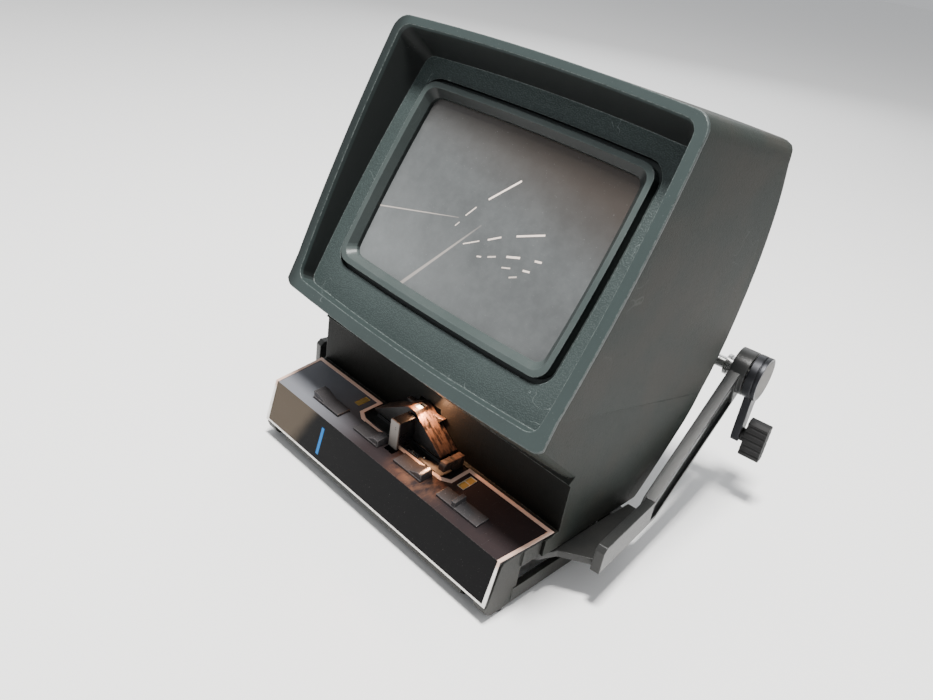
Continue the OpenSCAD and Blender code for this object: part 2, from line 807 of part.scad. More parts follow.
cover_holes = [[-cover_half + 2.5, 3], [cover_half - 2.5, 3], [-cover_half + 2.5, cover_len - 3], [cover_half - 2.5, cover_len - 3]];
louvres = 6;

// Service cover with louvres, lying on the rear wall
module rear_cover() {
    color([0.17, 0.23, 0.22])
        placed()
            on_rear()
                difference() {
                    union() {
                        translate([-cover_half, 0, -0.01])
                            cube([2 * cover_half, cover_len, 2]);
                        translate([-cover_half + 5.3, 6.3, -2])
                            cube([2 * cover_half - 10.6, cover_len - 12.6, 3]);
                    }
                    translate([-cover_half + 7.5, 8.5, -3])
                        cube([2 * cover_half - 15, cover_len - 17, 2.4]);
                    for (k = [0:louvres - 1])
                        translate([-cover_half + 14, 10.5 + k * 4.6, -4])
                            rotate([35, 0, 0])
                                cube([2 * cover_half - 28, 1.6, 12]);
                    for (p = cover_holes)
                        translate([p[0], p[1], -1])
                            cylinder(r = 1.2 + seat_gap, h = 4);
                }
}

module cover_screws() {
    color("silver")
        placed()
            on_rear()
                for (p = cover_holes)
                    translate([p[0], p[1], 0]) {
                        translate([0, 0, 2])
                            cylinder(r1 = 2.3, r2 = 1.9, h = 0.9);
                        translate([0, 0, -4])
                            cylinder(r = 1.2, h = 6.5);
                    }
}

// Outlines of the hood lining and of the grained plate
flange_r = hood_r - 0.5;
lining_out = shift(bowed(rim_w0 - shell_t - seat_gap, rim_w1 - shell_t - seat_gap, rim_len - 2 * shell_t - 1, hood_bow, flange_r), 0, shell_t + 0.5);
lining_in = shift(bowed(rim_w0 - 6.2, rim_w1 - 5.5, rim_len - 11.3, hood_bow, flange_r - 2), 0, 7.3);
plate_in = shift(bowed(rim_w0 - 8.4, rim_w1 - 12.9, 159.8, 3, 6), 0, 7.2);
plate_out = shift(bowed(rim_w0 - 5.8, rim_w1 - 10.3, 165, 3, 8), 0, 4.6);
plate_at = rim_foot + plate_back * [cos(rim_tilt), -sin(rim_tilt)];
frame_v = 29.9;
frame_out = shift(bowed(frame_half, frame_half, frame_len, 1.6, 9), 0, frame_v);
plate_t = 4;
rebate = 4.2;
flange_w = frame_gap + 3;
frame_back = rebate + screen_t;

function lay(p, o, tilt, back) = [for (q = p) on_plane(q, o, tilt, back)];

module on_screen(back) {
    translate([0, plate_at[0], plate_at[1]])
        rotate([90 - screen_tilt, 0, 0])
            translate([0, 0, -back])
                children();
}

module bezel_insert() {
    color([0.24, 0.31, 0.3])
        placed()
            difference() {
                union() {
                    loft(lay(lining_out, rim_foot, rim_tilt, 0.5), lay(plate_out, plate_at, screen_tilt, plate_t));
                    // Cap over the shell's edge, which makes the rim
                    difference() {
                        intersection() {
                            ahead_of_rim(cap_t - seat_gap);
                            along_x(-130, 130)
                                polygon(head_profile);
                            hood_prism(0, 60);
                        }
                        under_cut(0);
                    }
                }
                loft(lay(lining_in, rim_foot, rim_tilt, -2), lay(plate_in, plate_at, screen_tilt, 0));
                on_screen(plate_t + 1)
                    linear_extrude(20)
                        polygon(shift(bowed(frame_half + frame_gap, frame_half + frame_gap, frame_len + 2 * frame_gap, 1.6, 9 + frame_gap),
                            0, frame_v - frame_gap));
            }
}

// Raised frame round the screen, funnelled inwards to it
module screen_frame() {
    in_w = frame_half - frame_face;
    inner = shift(bowed(in_w, in_w, frame_len - 2 * frame_face, 1.6, 7), 0, frame_v + frame_face);
    throat = shift(bowed(in_w - 4, in_w - 4, frame_len - 2 * frame_face - 8, 1.6, 6), 0, frame_v + frame_face + 4);
    tip = shift(bowed(in_w - 6, in_w - 6, frame_len - 2 * frame_face - 12, 1.6, 5), 0, frame_v + frame_face + 6);
    color([0.16, 0.2, 0.2])
        placed()
            difference() {
                union() {
                    on_screen(frame_back)
                        linear_extrude(frame_back + frame_proud)
                            polygon(frame_out);
                    // Flange that clamps the frame behind the plate
                    on_screen(frame_back)
                        linear_extrude(frame_back - plate_t - 0.05)
                            polygon(shift(bowed(frame_half + flange_w, frame_half + flange_w, frame_len + 2 * flange_w, 1.6, 9 + flange_w),
                                0, frame_v - flange_w));
                }
                loft(lay(inner, plate_at, screen_tilt, -frame_proud - 0.01), lay(tip, plate_at, screen_tilt, 3.4));
                on_screen(8)
                    linear_extrude(8.2)
                        polygon(throat);
                // Rebate for the screen
                on_screen(8)
                    linear_extrude(8 - rebate)
                        polygon(screen_pts(0));
            }
}

function screen_pts(g) = let (w = frame_half - frame_face - 1.5 - g)
    shift(bowed(w, w, frame_len - 2 * frame_face - 3 - 2 * g, 1.6, 8 - g), 0, frame_v + frame_face + 1.5 + g);

module screen() {
    color([0.8, 0.8, 0.82])
        placed()
            on_screen(frame_back)
                linear_extrude(screen_t)
                    polygon(screen_pts(seat_gap));
}

// Spring clips that press the screen into its rebate
module screen_clips() {
    color("silver")
        placed()
            for (s = [-1, 1])
                for (v = [frame_v + 30, frame_v + frame_len - 30])
                    on_screen(frame_back + 0.9)
                        both_sides()
                            translate([frame_half - 12, v - 4, 0])
                                cube([12, 8, 0.9]);
}

beam_rise = 15;
beam_z = 57.5;
mirror_y = 163;
mirror_mid = [mirror_y, beam_z + (mirror_y - film_y) * tan(beam_rise)];
mirror_tilt = 13.7;

// Local frame along the beam behind the gate: z along the beam
module along_beam(y) {
    translate([beam_x, y, beam_z + (y - film_y) * tan(beam_rise)])
        rotate([beam_rise - 90, 0, 0])
            children();
}

lens_r = 9;
lens_y = 60;
lens_len = 22;
module lens_barrel() {
    color("black")
        placed()
            along_beam(lens_y)
                difference() {
                    union() {
                        cylinder(r = lens_r, h = lens_len);
                        for (k = [0:3])
                            translate([0, 0, lens_len - 3.2 + 0.8 * k])
                                cylinder(r = lens_r + 0.5, h = 0.4);
                    }
                    translate([0, 0, -1])
                        cylinder(r = lens_r - 2.2, h = lens_len + 2);
                    for (z = [2, lens_len - 5])
                        translate([0, 0, z])
                            cylinder(r = lens_r - 1.4, h = 3);
                }
}

module lens_glass() {
    color("lightblue")
        placed()
            along_beam(lens_y)
                for (z = [2, lens_len - 5])
                    translate([0, 0, z + 0.3])
                        rotate_extrude()
                            polygon(concat([[0, 0]], [for (i = [0:6]) let (r = (lens_r - 1.5) * (1 - i / 6)) [r, 1.4 + 1 * (1 - pow(r / lens_r, 2))]]));
}

module lens_cradle() {
    color("gray")
        placed()
            intersection() {
                difference() {
                    union() {
                        along_beam(lens_y + 1.5)
                            cylinder(r = lens_r + 2.5, h = 14);
                        block(beam_x - 8, beam_x + 8, lens_y + 2, lens_y + 18, floor_z + shell_t, 60);
                    }
                    along_beam(lens_y - 20)
                        cylinder(r = lens_r + run_gap, h = 70);
                    // Slot over the barrel for the focusing peg
                    block(beam_x - 2, beam_x + 2, lens_y - 10, lens_y + 40, 70, 90);
                }
                block(beam_x - 30, beam_x + 30, lens_y - 10, lens_y + 40, floor_z + shell_t, 100);
            }
}

mirror_half = [48, 27];
module at_mirror() {
    translate([0, mirror_mid[0], mirror_mid[1]])
        rotate([90 - mirror_tilt, 0, 0])
            children();
}

module main_mirror() {
    color("lightsteelblue")
        placed()
            at_mirror()
                translate([-mirror_half[0], -mirror_half[1], -2])
                    cube([2 * mirror_half[0], 2 * mirror_half[1], 2]);
}

module mirror_bracket() {
    f = floor_z + shell_t;
    foot = mirror_mid - (mirror_half[1] + 2) * [sin(mirror_tilt), cos(mirror_tilt)];
    color("gray")
        placed() {
            at_mirror()
                difference() {
                    translate([-mirror_half[0] - 2, -mirror_half[1] - 2, -3.6])
                        cube([2 * mirror_half[0] + 4, 2 * mirror_half[1] + 4, 4.4]);
                    // Seat of the mirror, and the window in front of it
                    translate([-mirror_half[0] - seat_gap, -mirror_half[1] - seat_gap, -2 - seat_gap])
                        cube([2 * (mirror_half[0] + seat_gap), 2 * (mirror_half[1] + seat_gap), 2 + 2 * seat_gap]);
                    translate([-mirror_half[0] + 1.5, -mirror_half[1] + 1.5, -3])
                        cube([2 * mirror_half[0] - 3, 2 * mirror_half[1] - 3, 6]);
                }
            // Two feet down to the floor
            for (s = [-1, 1])
                along_x(s * 40 - 4, s * 40 + 4)
                    polygon([[foot[0] - 44, f], [foot[0] - 26, f], [foot[0] - 26, f + 2], [foot[0] + 1.5, foot[1] - 1],
                        [foot[0] + 1.5, foot[1] + 1.4], [foot[0] - 2.5, foot[1] + 1.4], [foot[0] - 30, f + 2], [foot[0] - 44, f + 2]]);
        }
}

bed_y = [notch_y, 46];
rib_top = 34;
well_half = notch_half + 1;
bed_t = 2.8;
rail_h = 1.7;
rail_f = film_y - channel_w / 2;
rail_b = film_y + channel_w / 2;
slot_z = bed_z + 2.8;
aperture = [5.8, 4.2];
spr_r = 4.9;
spr_x = 8;
spr_z = bed_z - spr_r + 0.05;
gear_y = 38.3;
gear_w = 2.2;
pinion_teeth = gear_teeth / 2;
gear_dist = gear_m * (gear_teeth + pinion_teeth) / 2;
prism_z = spr_z + sqrt(gear_dist * gear_dist - (spr_x - beam_x) * (spr_x - beam_x));
bearing_y = 41.4;
bearing_t = 3;
shaft = 1.2;

module gate_bed() {
    color([0.12, 0.12, 0.12])
        placed()
            difference() {
                union() {
                    intersection() {
                        union() {
                            block(-60, 60, 20, bed_y[1], bed_z - bed_t, bed_z);
                            block(-60, 60, 20, rail_f, bed_z - 1, bed_z + 0.8);
                            block(-34, 30, rail_b, rail_b + 1.6, bed_z - 1, bed_z + rail_h);
                        }
                        linear_extrude(60)
                            notch(-free_gap);
                    }
                    // Lips that stand on the base's cross rib
                    for (s = [-1, 1])
                        block(s * 36 - 3, s * 36 + 3, shelf_y - seat_gap - pan_wall, shelf_y - seat_gap, rib_top, bed_z - 1);
                }
                // Aperture, sprocket slot and gear slot
                block(beam_x - aperture[0] / 2, beam_x + aperture[0] / 2, film_y - aperture[1] / 2, film_y + aperture[1] / 2, 30, 60);
                block(spr_x - spr_r - 1.4, spr_x + spr_r + 1.4, rail_f + 0.9, rail_f + 3.4, 30, 60);
                block(spr_x - gear_r(gear_teeth) - 0.5, spr_x + gear_r(gear_teeth) + 0.5, gear_y - 0.5, gear_y + gear_w + 0.5, 30, 60);
                block(spr_x - 2.6, spr_x + 2.6, rail_f + 3, gear_y, bed_z - 10, bed_z - 2.2);
            }
}

guide_x = 33.8;
guide_top = 52;
guide_w = 4.8;

// Block at the gate's right end, open to the front for the film
module guide_blocks() {
    color([0.1, 0.1, 0.1])
        placed()
            along_x(guide_x - guide_w / 2, guide_x + guide_w / 2)
                polygon([[28.6, slot_z], [28.6, guide_top - 1.4], [30.2, guide_top], [45.8, guide_top],
                    [45.8, bed_z], [rail_b + 1.7, bed_z], [rail_b + 1.7, slot_z]]);
}

// Roof over the drive: gable, two slopes, and wings at the neck
apex = [beam_x - 1.6, 66.5];
eave_r = [25.5, 48];
eave_l = [-37, 47.6];
gable_y = 35.5;
shield_t = 1.4;
module light_shield() {
    color([0.15, 0.12, 0.1])
        placed()
            difference() {
                union() {
                    difference() {
                        along_y(gable_y, neck_y - seat_gap)
                            polygon([eave_l, [eave_l[0], eave_l[1] - 1], [eave_r[0], eave_r[1] - 1], eave_r, apex + [3, 0], apex - [3, 0]]);
                        along_y(gable_y + shield_t, neck_y + 1)
                            polygon([eave_l + [4.4, -2], eave_r + [-4.6, -2], eave_r + [-4.6, 0.8], apex + [2.3, -shield_t * 1.2],
                                apex - [2.3, shield_t * 1.2], eave_l + [4.4, 0.8]]);
                    }
                    // Wings at the neck opening
                    along_y(neck_y - 3.2, neck_y - seat_gap) {
                        polygon([[beam_x + 2.5, 62.5], [12.8, 63.6], [8, 57.8]]);
                        polygon([[beam_x - 7, 62.5], [-20.5, 61.5], [-15, 57]]);
                    }
                    // Feet on the bed
                    for (x = [eave_l[0] + 2.4, eave_r[0] - 3.5])
                        block(x - 1, x + 1, gable_y + 3, neck_y - 4.4, bed_z, eave_r[1] - 0.2);
                }
                // Beam opening in the gable and in the ridge
                along_y(gable_y - 1, gable_y + 3)
                    polygon([[beam_x - 3.4, prism_z - 3], [beam_x + 3.4, prism_z - 3], [beam_x + 3.4, 64], [beam_x - 3.4, 64]]);
                block(beam_x - 4, beam_x + 1.2, gable_y + 4, neck_y - 4, 62, 70);
            }
}

module shaft_bearing() {
    color("gray")
        placed()
            difference() {
                union() {
                    along_y(bearing_y, bearing_y + bearing_t)
                        polygon([[spr_x - 5, spr_z - 4], [spr_x + 4, spr_z - 4], [spr_x + 4, bed_z - bed_t], [spr_x - 5, bed_z - bed_t]]);
                    along_y(bearing_y, bearing_y + bearing_t)
                        polygon([[beam_x - 4, bed_z], [spr_x, bed_z], [beam_x + 3.5, prism_z + 3], [beam_x - 3.5, prism_z + 3]]);
                }
                rod_y(spr_x, spr_z, shaft + run_gap, bearing_y - 1, bearing_y + bearing_t + 1);
                rod_y(beam_x, prism_z, shaft + run_gap, bearing_y - 1, bearing_y + bearing_t + 1);
            }
}

// Involute gear outline with z teeth, pressure angle 25, thinned for backlash
function gear_r(z) = gear_m * z / 2 + 0.8 * gear_m;
function inv(a) = tan(a) - a * PI / 180;
function tooth_half(z, r) = let (rp = gear_m * z / 2, rb = rp * cos(25), c = min(1, rb / r))
    90 / z - 3.2 / z + (inv(25) - inv(acos(c))) * 180 / PI;
function gear_pts(z) = let (rp = gear_m * z / 2, r0 = rp - 1.05 * gear_m, r1 = gear_r(z),
    rb = max(r0 + 0.05, rp * cos(25)), n = 4,
    rr = [for (i = [0:n]) rb + (r1 - rb) * i / n])
    [for (k = [0:z - 1]) for (q = concat([[r0, -tooth_half(z, rb)]], [for (r = rr) [r, -tooth_half(z, r)]],
        [for (i = [n:-1:0]) [rr[i], tooth_half(z, rr[i])]], [[r0, tooth_half(z, rb)]]))
        let (a = k * 360 / z + q[1]) q[0] * [cos(a), sin(a)]];

// Direction from the sprocket shaft to the prism shaft
mesh_dir = atan2(prism_z - spr_z, beam_x - spr_x);

module drive_gear() {
    color("gold")
        placed()
            translate([spr_x, gear_y, spr_z])
                rotate([90, 0, 0])
                    mirror([0, 0, 1])
                        rotate([0, 0, mesh_dir])
                            linear_extrude(gear_w)
                                difference() {
                                    polygon(gear_pts(gear_teeth));
                                    for (k = [0:4])
                                        rotate([0, 0, 72 * k])
                                            translate([5.6, 0])
                                                circle(r = 1.9);
                                    circle(r = shaft);
                                }
}

module prism_pinion() {
    color("gold")
        placed()
            translate([beam_x, gear_y, prism_z])
                rotate([90, 0, 0])
                    mirror([0, 0, 1])
                        rotate([0, 0, mesh_dir + 180 + 180 / pinion_teeth])
                            linear_extrude(gear_w)
                                difference() {
                                    polygon(gear_pts(pinion_teeth));
                                    circle(r = shaft);
                                }
}

tooth_h = 0.85;
module sprocket() {
    color("silver")
        placed() {
            rod_y(spr_x, spr_z, spr_r, rail_f + 1.1, rail_f + 3.2);
            rod_y(spr_x, spr_z, 2.2, rail_f + 3.1, gear_y - 0.4);
            rod_y(spr_x, spr_z, shaft, rail_f + 3, bearing_y + bearing_t + 0.4);
            for (k = [0:sprocket_teeth - 1])
                translate([spr_x, rail_f + 1.7, spr_z])
                    rotate([0, k * 360 / sprocket_teeth, 0])
                        translate([0, 0.9, spr_r - 0.5])
                            rotate([90, 0, 0])
                                linear_extrude(0.9)
                                    polygon([[-0.55, 0], [0.55, 0], [0.45, 0.5], [0.2, 0.5 + tooth_h], [-0.2, 0.5 + tooth_h], [-0.45, 0.5]]);
        }
}

prism_side = 3.9;
module prism() {
    color("white")
        placed() {
            translate([beam_x, 0, prism_z])
                block(-prism_side / 2, prism_side / 2, film_y - 4.4, film_y + 3.8, -prism_side / 2, prism_side / 2);
            rod_y(beam_x, prism_z, shaft, film_y + 3.7, bearing_y + bearing_t + 0.4);
        }
}

lever_wall = 0.9;
module format_lever() {
    color([0.08, 0.08, 0.08])
        placed() {
            difference() {
                block(lever_x[0], lever_x[1], lever_front + 1, gable_y - free_gap, slot_z, lever_top);
                block(lever_x[0] + lever_wall, lever_x[1] - lever_wall, lever_front + 2, gable_y + 1, slot_z - 1, lever_top - 1.2);
            }
            // Tongue through the panel slot with its foot
            block(lever_x[0], lever_x[1], lever_front + 1, lever_front + 2, 36, slot_z + 1);
            block(lever_x[0], lever_x[1], lever_front - 1, lever_front + 3, 34.5, 37);
        }
}

module lever_plate() {
    color("silver")
        placed()
            along_y(lever_front, lever_front + 0.95)
                polygon([[lever_x[0], 44], [lever_x[1], 44], [lever_x[1], lever_top - 0.4], [lever_x[1] - 0.4, lever_top],
                    [lever_x[0] + 0.4, lever_top], [lever_x[0], lever_top - 0.4]]);
}

module lever_mirror() {
    color("lightsteelblue")
        placed()
            translate([0, film_y, beam_z])
                rotate([90 - (90 - beam_rise) / 2 + 0, 0, 0])
                    translate([lever_x[0] + lever_wall + 0.05, -4.2, 0])
                        cube([lever_w - 2 * lever_wall - 0.1, 8.4, 0.9]);
}

module condenser() {
    color("lightblue")
        placed()
            translate([beam_x, film_y, 29.4])
                rotate_extrude()
                    polygon(concat([[0, 0]], [for (i = [0:6]) let (r = 5.5 * (1 - i / 6)) [r, 1.2 + 2.2 * (1 - pow(r / 5.5, 2))]]));
}

module condenser_holder() {
    color("gray")
        placed()
            translate([beam_x, film_y, 0]) {
                difference() {
                    translate([0, 0, 28.2])
                        cylinder(r = 6.8, h = 4.6);
                    translate([0, 0, 27])
                        cylinder(r = 4.6, h = 8);
                    translate([0, 0, 29.3])
                        cylinder(r = 5.6, h = 8);
                }
                // Two struts up from the pan floor
                for (s = [-1, 1])
                    translate([s * 15.6 - 0.8, -3, foot_h + pan_wall])
                        cube([1.6, 6, 24.8]);
                for (s = [-1, 1])
                    translate([s * 11.1 - 5.3, -3, 28.2])
                        cube([10.6, 6, 1.6]);
            }
}

module lamp() {
    color("white")
        placed()
            translate([beam_x, film_y, 0])
                rotate_extrude()
                    polygon(concat([[0, 8], [3.4, 8], [3.4, 13.4], [4.6, 14.2], [5, 17]], [for (i = [0:6]) [5 * cos(15 * i), 21 + 5 * sin(15 * i)]]));
}

module lamp_socket() {
    color("gray")
        placed()
            translate([beam_x, film_y, foot_h + pan_wall])
                difference() {
                    cylinder(r = 5, h = 7.6);
                    translate([0, 0, 2.9])
                        cylinder(r = 3.5, h = 8);
                }
}

module reflector() {
    color("silver")
        placed()
            translate([beam_x, film_y, 0])
                rotate_extrude()
                    polygon(concat([for (i = [0:6]) [5.1 + 8 * sin(12.5 * i), 9 + 11 * (1 - cos(12.5 * i))]],
                        [for (i = [6:-1:0]) [5.1 + 8 * sin(12.5 * i) + (i == 0 ? 0 : 0.1), 10.1 + 11 * (1 - cos(12.5 * i))]]));
}

// Sliding mask below the aperture
module framing_mask() {
    color("dimgray")
        placed()
            difference() {
                block(beam_x - 7, beam_x + 3.4, film_y - 3.6, film_y + 4.2, bed_z - bed_t - 1.2, bed_z - bed_t - 0.1);
                block(beam_x - 2.1, beam_x + 2.1, film_y - 2.6, film_y + 2.6, 30, 50);
            }
}

// Local frame of the right arm: x outwards, y along the arm, z up
module arm_frame() {
    translate([pivot_x, pivot_y, 0])
        rotate([0, 0, arm_toe])
            children();
}

web_top = rail_z - free_gap;
web_z = web_top - web_t;
tab_r = 8.5;
flange_t = 6;
flange_s = 10.6;
elbow_s = 74.3;
boss_out = 3;
arm_t = 8;

module arm() {
    difference() {
        union() {
            // Web plate under the body, with the round tab at the pivot
            translate([0, 0, web_z])
                linear_extrude(web_t) {
                    circle(r = tab_r);
                    polygon([[-tab_r + 1, 3], [6.6, -5.2], [12.3, 4.8], [arm_out - 6, 14.9], [arm_out - 3, 14.9], [arm_out - 3, elbow_s],
                        [20, elbow_s], [10, 14], [-4, 7.5]]);
                }
            // Upright flange at the outer edge
            translate([arm_out - flange_t, flange_s, web_z])
                cube([flange_t, elbow_s - flange_s + 4, flange_h]);
            // Rising channel bar up to the hub
            translate([arm_out - arm_t, 0, 0])
                rotate([90, 0, 90])
                    linear_extrude(arm_t)
                        difference() {
                            polygon([[elbow_s - 12, web_z], [elbow_s + 6, web_z], [hub_s + 5, hub_z - 11], [hub_s - 5, hub_z + 10.5],
                                [elbow_s - 3, web_z + flange_h]]);
                        }
            hub_rod(hub_r, -arm_t, boss_out);
        }
        // Channel pockets on both faces of the bar
        for (f = [[arm_out - 2.6, 5], [arm_out - arm_t - 3, 5.2]])
            translate([f[0], 0, 0])
                rotate([90, 0, 90])
                    linear_extrude(f[1])
                        polygon([[elbow_s - 2, web_z + 3], [elbow_s + 5.4, web_z + 3], [hub_s - 12.5, hub_z - 18.8],
                            [hub_s - 18.5, hub_z - 3.4], [elbow_s - 2, web_z + flange_h - 3.4]]);
        // Bores of the pivot pin and of the spindle shaft
        translate([0, 0, web_z - 1])
            cylinder(r = pin_r + run_gap, h = web_t + 2);
        hub_rod(shaft_r + run_gap, -arm_t - 1, boss_out + 1);
        // Bevelled lower front corner of the flange
        translate([arm_out - flange_t - 1, flange_s, web_z + flange_h])
            rotate([45, 0, 0])
                translate([0, -2, -2])
                    cube([flange_t + 2, 4, 4]);
    }
}

// Rod on the hub axis, between two distances from the arm's outer face
module hub_rod(r, n0, n1) {
    translate([arm_out + n0, hub_s, hub_z])
        rotate([0, 90, 0])
            cylinder(r = r, h = n1 - n0);
}

module arm_right() {
    color("dimgray")
        placed()
            arm_frame()
                arm();
}

module arm_left() {
    color("dimgray")
        placed()
            mirror([1, 0, 0])
                arm_frame()
                    arm();
}

crank_in = 4;
inlay_t = 0.6;
bar_w = 10;
module crank() {
    difference() {
        union() {
            hub_rod(hub_r, crank_in, disc_out);
            // Crank bar straight down to the knob pin
            translate([arm_out + crank_in + 1, hub_s, hub_z])
                rotate([90, 0, 90])
                    linear_extrude(5.5)
                        polygon([[-6.5, 0], [6.5, 0], [bar_w / 2, -crank_throw], [bar_w / 2 - 1.5, -crank_throw - 5],
                            [-bar_w / 2 + 1.5, -crank_throw - 5], [-bar_w / 2, -crank_throw]]);
            translate([arm_out + crank_in + 1, hub_s, hub_z - crank_throw])
                rotate([0, 90, 0])
                    cylinder(r = 2, h = 20);
        }
        // Recess of the inlay, groove round the rim, shaft seat
        hub_rod(hub_r - 2.2, disc_out - inlay_t, disc_out + 1);
        difference() {
            hub_rod(hub_r + 1, disc_out - 3.4, disc_out - 2.6);
            hub_rod(hub_r - 0.5, disc_out - 3.5, disc_out - 2.5);
        }
        hub_rod(shaft_r + seat_gap, crank_in - 1, disc_out - 3);
    }
}

// Shaft, washer, collar, the reel's seat and the slimmer grooved tip
module spindle() {
    tip_in = -arm_t - 6.5 - spindle_len + spindle_tip;
    hub_rod(shaft_r, -arm_t - 4, disc_out - 3);
    hub_rod(6.35, -arm_t - 4, -arm_t - free_gap);
    hub_rod(7.15, -arm_t - 6.5, -arm_t - 4);
    hub_rod(spindle_r, tip_in, -arm_t - 6.5);
    difference() {
        hub_rod(spindle_r - 0.35, tip_in - spindle_tip, tip_in + 1);
        for (k = [0:2])
            translate([arm_out + tip_in - spindle_tip - 1, hub_s, hub_z])
                rotate([120 * k, 0, 0])
                    translate([0, -0.6, spindle_r - 0.8])
                        cube([spindle_tip + 0.8, 1.2, 1]);
        // Slot of the reel latch
        translate([arm_out + tip_in - spindle_tip - 1, hub_s - 0.6, hub_z - 6])
            cube([spindle_tip + 0.8, 1.2, 12]);
    }
}

// Paddle knob that turns on the crank's pin
module knob() {
    translate([arm_out + crank_in + 1 + 5.5 + free_gap, hub_s, hub_z - crank_throw])
        difference() {
            union() {
                rotate([0, 90, 0])
                    cylinder(r = 4.6, h = 3);
                translate([2.6, 0, 0])
                    rotate([90, 0, 90])
                        linear_extrude(14)
                            polygon([[-knob_w / 2, -knob_len / 2 + 2], [-knob_w / 2 + 2, -knob_len / 2], [knob_w / 2 - 2, -knob_len / 2],
                                [knob_w / 2, -knob_len / 2 + 2], [knob_w / 2, knob_len / 2 - 2], [knob_w / 2 - 2, knob_len / 2],
                                [-knob_w / 2 + 2, knob_len / 2], [-knob_w / 2, knob_len / 2 - 2]]);
            }
            // Finger flutes across both broad faces
            for (s = [-1, 1])
                for (k = [-2:2])
                    translate([1, s * (knob_w / 2 + 0.9), k * 5])
                        rotate([0, 90, 0])
                            cylinder(r = 1.5, h = 20);
            translate([-1, 0, 0])
                rotate([0, 90, 0])
                    cylinder(r = 2 + run_gap, h = 16);
        }
}

module inlay() {
    hub_rod(hub_r - 2.3, disc_out - inlay_t, disc_out);
}

module crank_right() {
    color([0.1, 0.1, 0.1])
        placed()
            arm_frame()
                crank();
}

module crank_left() {
    color([0.1, 0.1, 0.1])
        placed()
            mirror([1, 0, 0])
                arm_frame()
                    crank();
}

module spindle_right() {
    color("gray")
        placed()
            arm_frame()
                spindle();
}

module spindle_left() {
    color("gray")
        placed()
            mirror([1, 0, 0])
                arm_frame()
                    spindle();
}

module crank_inlay_right() {
    color("saddlebrown")
        placed()
            arm_frame()
                inlay();
}

module crank_inlay_left() {
    color("saddlebrown")
        placed()
            mirror([1, 0, 0])
                arm_frame()
                    inlay();
}

module knob_right() {
    color([0.14, 0.14, 0.14])
        placed()
            arm_frame()
                knob();
}

module knob_left() {
    color([0.14, 0.14, 0.14])
        placed()
            mirror([1, 0, 0])
                arm_frame()
                    knob();
}

// Pins of the arms, driven up into the head's bosses
module pivot_pins() {
    color("silver")
        placed()
            both_sides()
                translate([pivot_x, pivot_y, 0]) {
                    translate([0, 0, web_z - free_gap - 2.2])
                        cylinder(r = 4.8, h = 2.2);
                    translate([0, 0, web_z - free_gap])
                        cylinder(r = pin_r, h = rail_z + 8 - web_z);
                }
}

base_frame();
feet();
pan_screws();
cable_gland();
transformer_core();
transformer_coil();
control_panel();
panel_trim();
head_shell();
rear_cover();
cover_screws();
bezel_insert();
screen_frame();
screen();
screen_clips();
main_mirror();
mirror_bracket();
lens_cradle();
lens_barrel();
lens_glass();
gate_bed();
guide_blocks();
light_shield();
shaft_bearing();
condenser();
condenser_holder();
lamp();
lamp_socket();
reflector();
sprocket();
drive_gear();
prism();
prism_pinion();
framing_mask();
frame_key();
focus_key();
mark_key();
lamp_key();
lamp_switch();
format_lever();
lever_plate();
lever_mirror();
pivot_pins();
arm_right();
arm_left();
crank_right();
crank_left();
spindle_right();
spindle_left();
crank_inlay_right();
crank_inlay_left();
knob_right();
knob_left();
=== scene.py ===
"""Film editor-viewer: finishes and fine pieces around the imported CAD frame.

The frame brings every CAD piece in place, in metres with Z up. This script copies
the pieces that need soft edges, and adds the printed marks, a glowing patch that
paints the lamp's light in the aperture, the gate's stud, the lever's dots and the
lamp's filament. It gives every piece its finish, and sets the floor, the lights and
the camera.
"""

import sys

import json
import logging
import math
from dataclasses import dataclass
from enum import Enum
from typing import Callable, Sequence, Union

import bpy
from mathutils import Euler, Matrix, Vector

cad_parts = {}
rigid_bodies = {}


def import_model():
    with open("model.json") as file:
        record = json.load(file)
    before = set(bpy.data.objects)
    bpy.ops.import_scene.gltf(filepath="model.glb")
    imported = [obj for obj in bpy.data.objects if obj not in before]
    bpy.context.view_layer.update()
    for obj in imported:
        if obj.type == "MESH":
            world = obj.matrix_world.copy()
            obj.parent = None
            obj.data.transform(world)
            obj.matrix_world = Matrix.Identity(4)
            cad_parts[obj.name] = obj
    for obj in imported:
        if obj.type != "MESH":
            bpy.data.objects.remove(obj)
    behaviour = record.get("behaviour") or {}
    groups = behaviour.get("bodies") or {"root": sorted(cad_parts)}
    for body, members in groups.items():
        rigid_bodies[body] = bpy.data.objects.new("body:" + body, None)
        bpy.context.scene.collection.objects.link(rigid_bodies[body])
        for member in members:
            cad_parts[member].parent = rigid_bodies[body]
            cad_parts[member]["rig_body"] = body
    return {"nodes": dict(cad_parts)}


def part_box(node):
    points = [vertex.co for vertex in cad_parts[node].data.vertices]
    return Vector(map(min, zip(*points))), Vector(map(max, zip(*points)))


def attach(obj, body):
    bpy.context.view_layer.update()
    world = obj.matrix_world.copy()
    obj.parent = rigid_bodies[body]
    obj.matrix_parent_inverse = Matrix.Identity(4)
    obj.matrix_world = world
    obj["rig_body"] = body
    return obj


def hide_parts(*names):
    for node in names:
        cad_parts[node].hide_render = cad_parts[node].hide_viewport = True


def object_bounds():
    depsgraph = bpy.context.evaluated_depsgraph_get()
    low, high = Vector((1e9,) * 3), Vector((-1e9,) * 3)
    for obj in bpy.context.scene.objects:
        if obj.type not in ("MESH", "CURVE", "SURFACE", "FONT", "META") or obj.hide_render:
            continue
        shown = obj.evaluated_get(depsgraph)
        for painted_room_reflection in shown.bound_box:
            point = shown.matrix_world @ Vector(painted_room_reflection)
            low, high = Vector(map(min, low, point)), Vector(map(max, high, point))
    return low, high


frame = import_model()
CAD_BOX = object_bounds()
NODES: dict[str, bpy.types.Object] = frame["nodes"]

log = logging.getLogger("viewer")

MM = 0.001
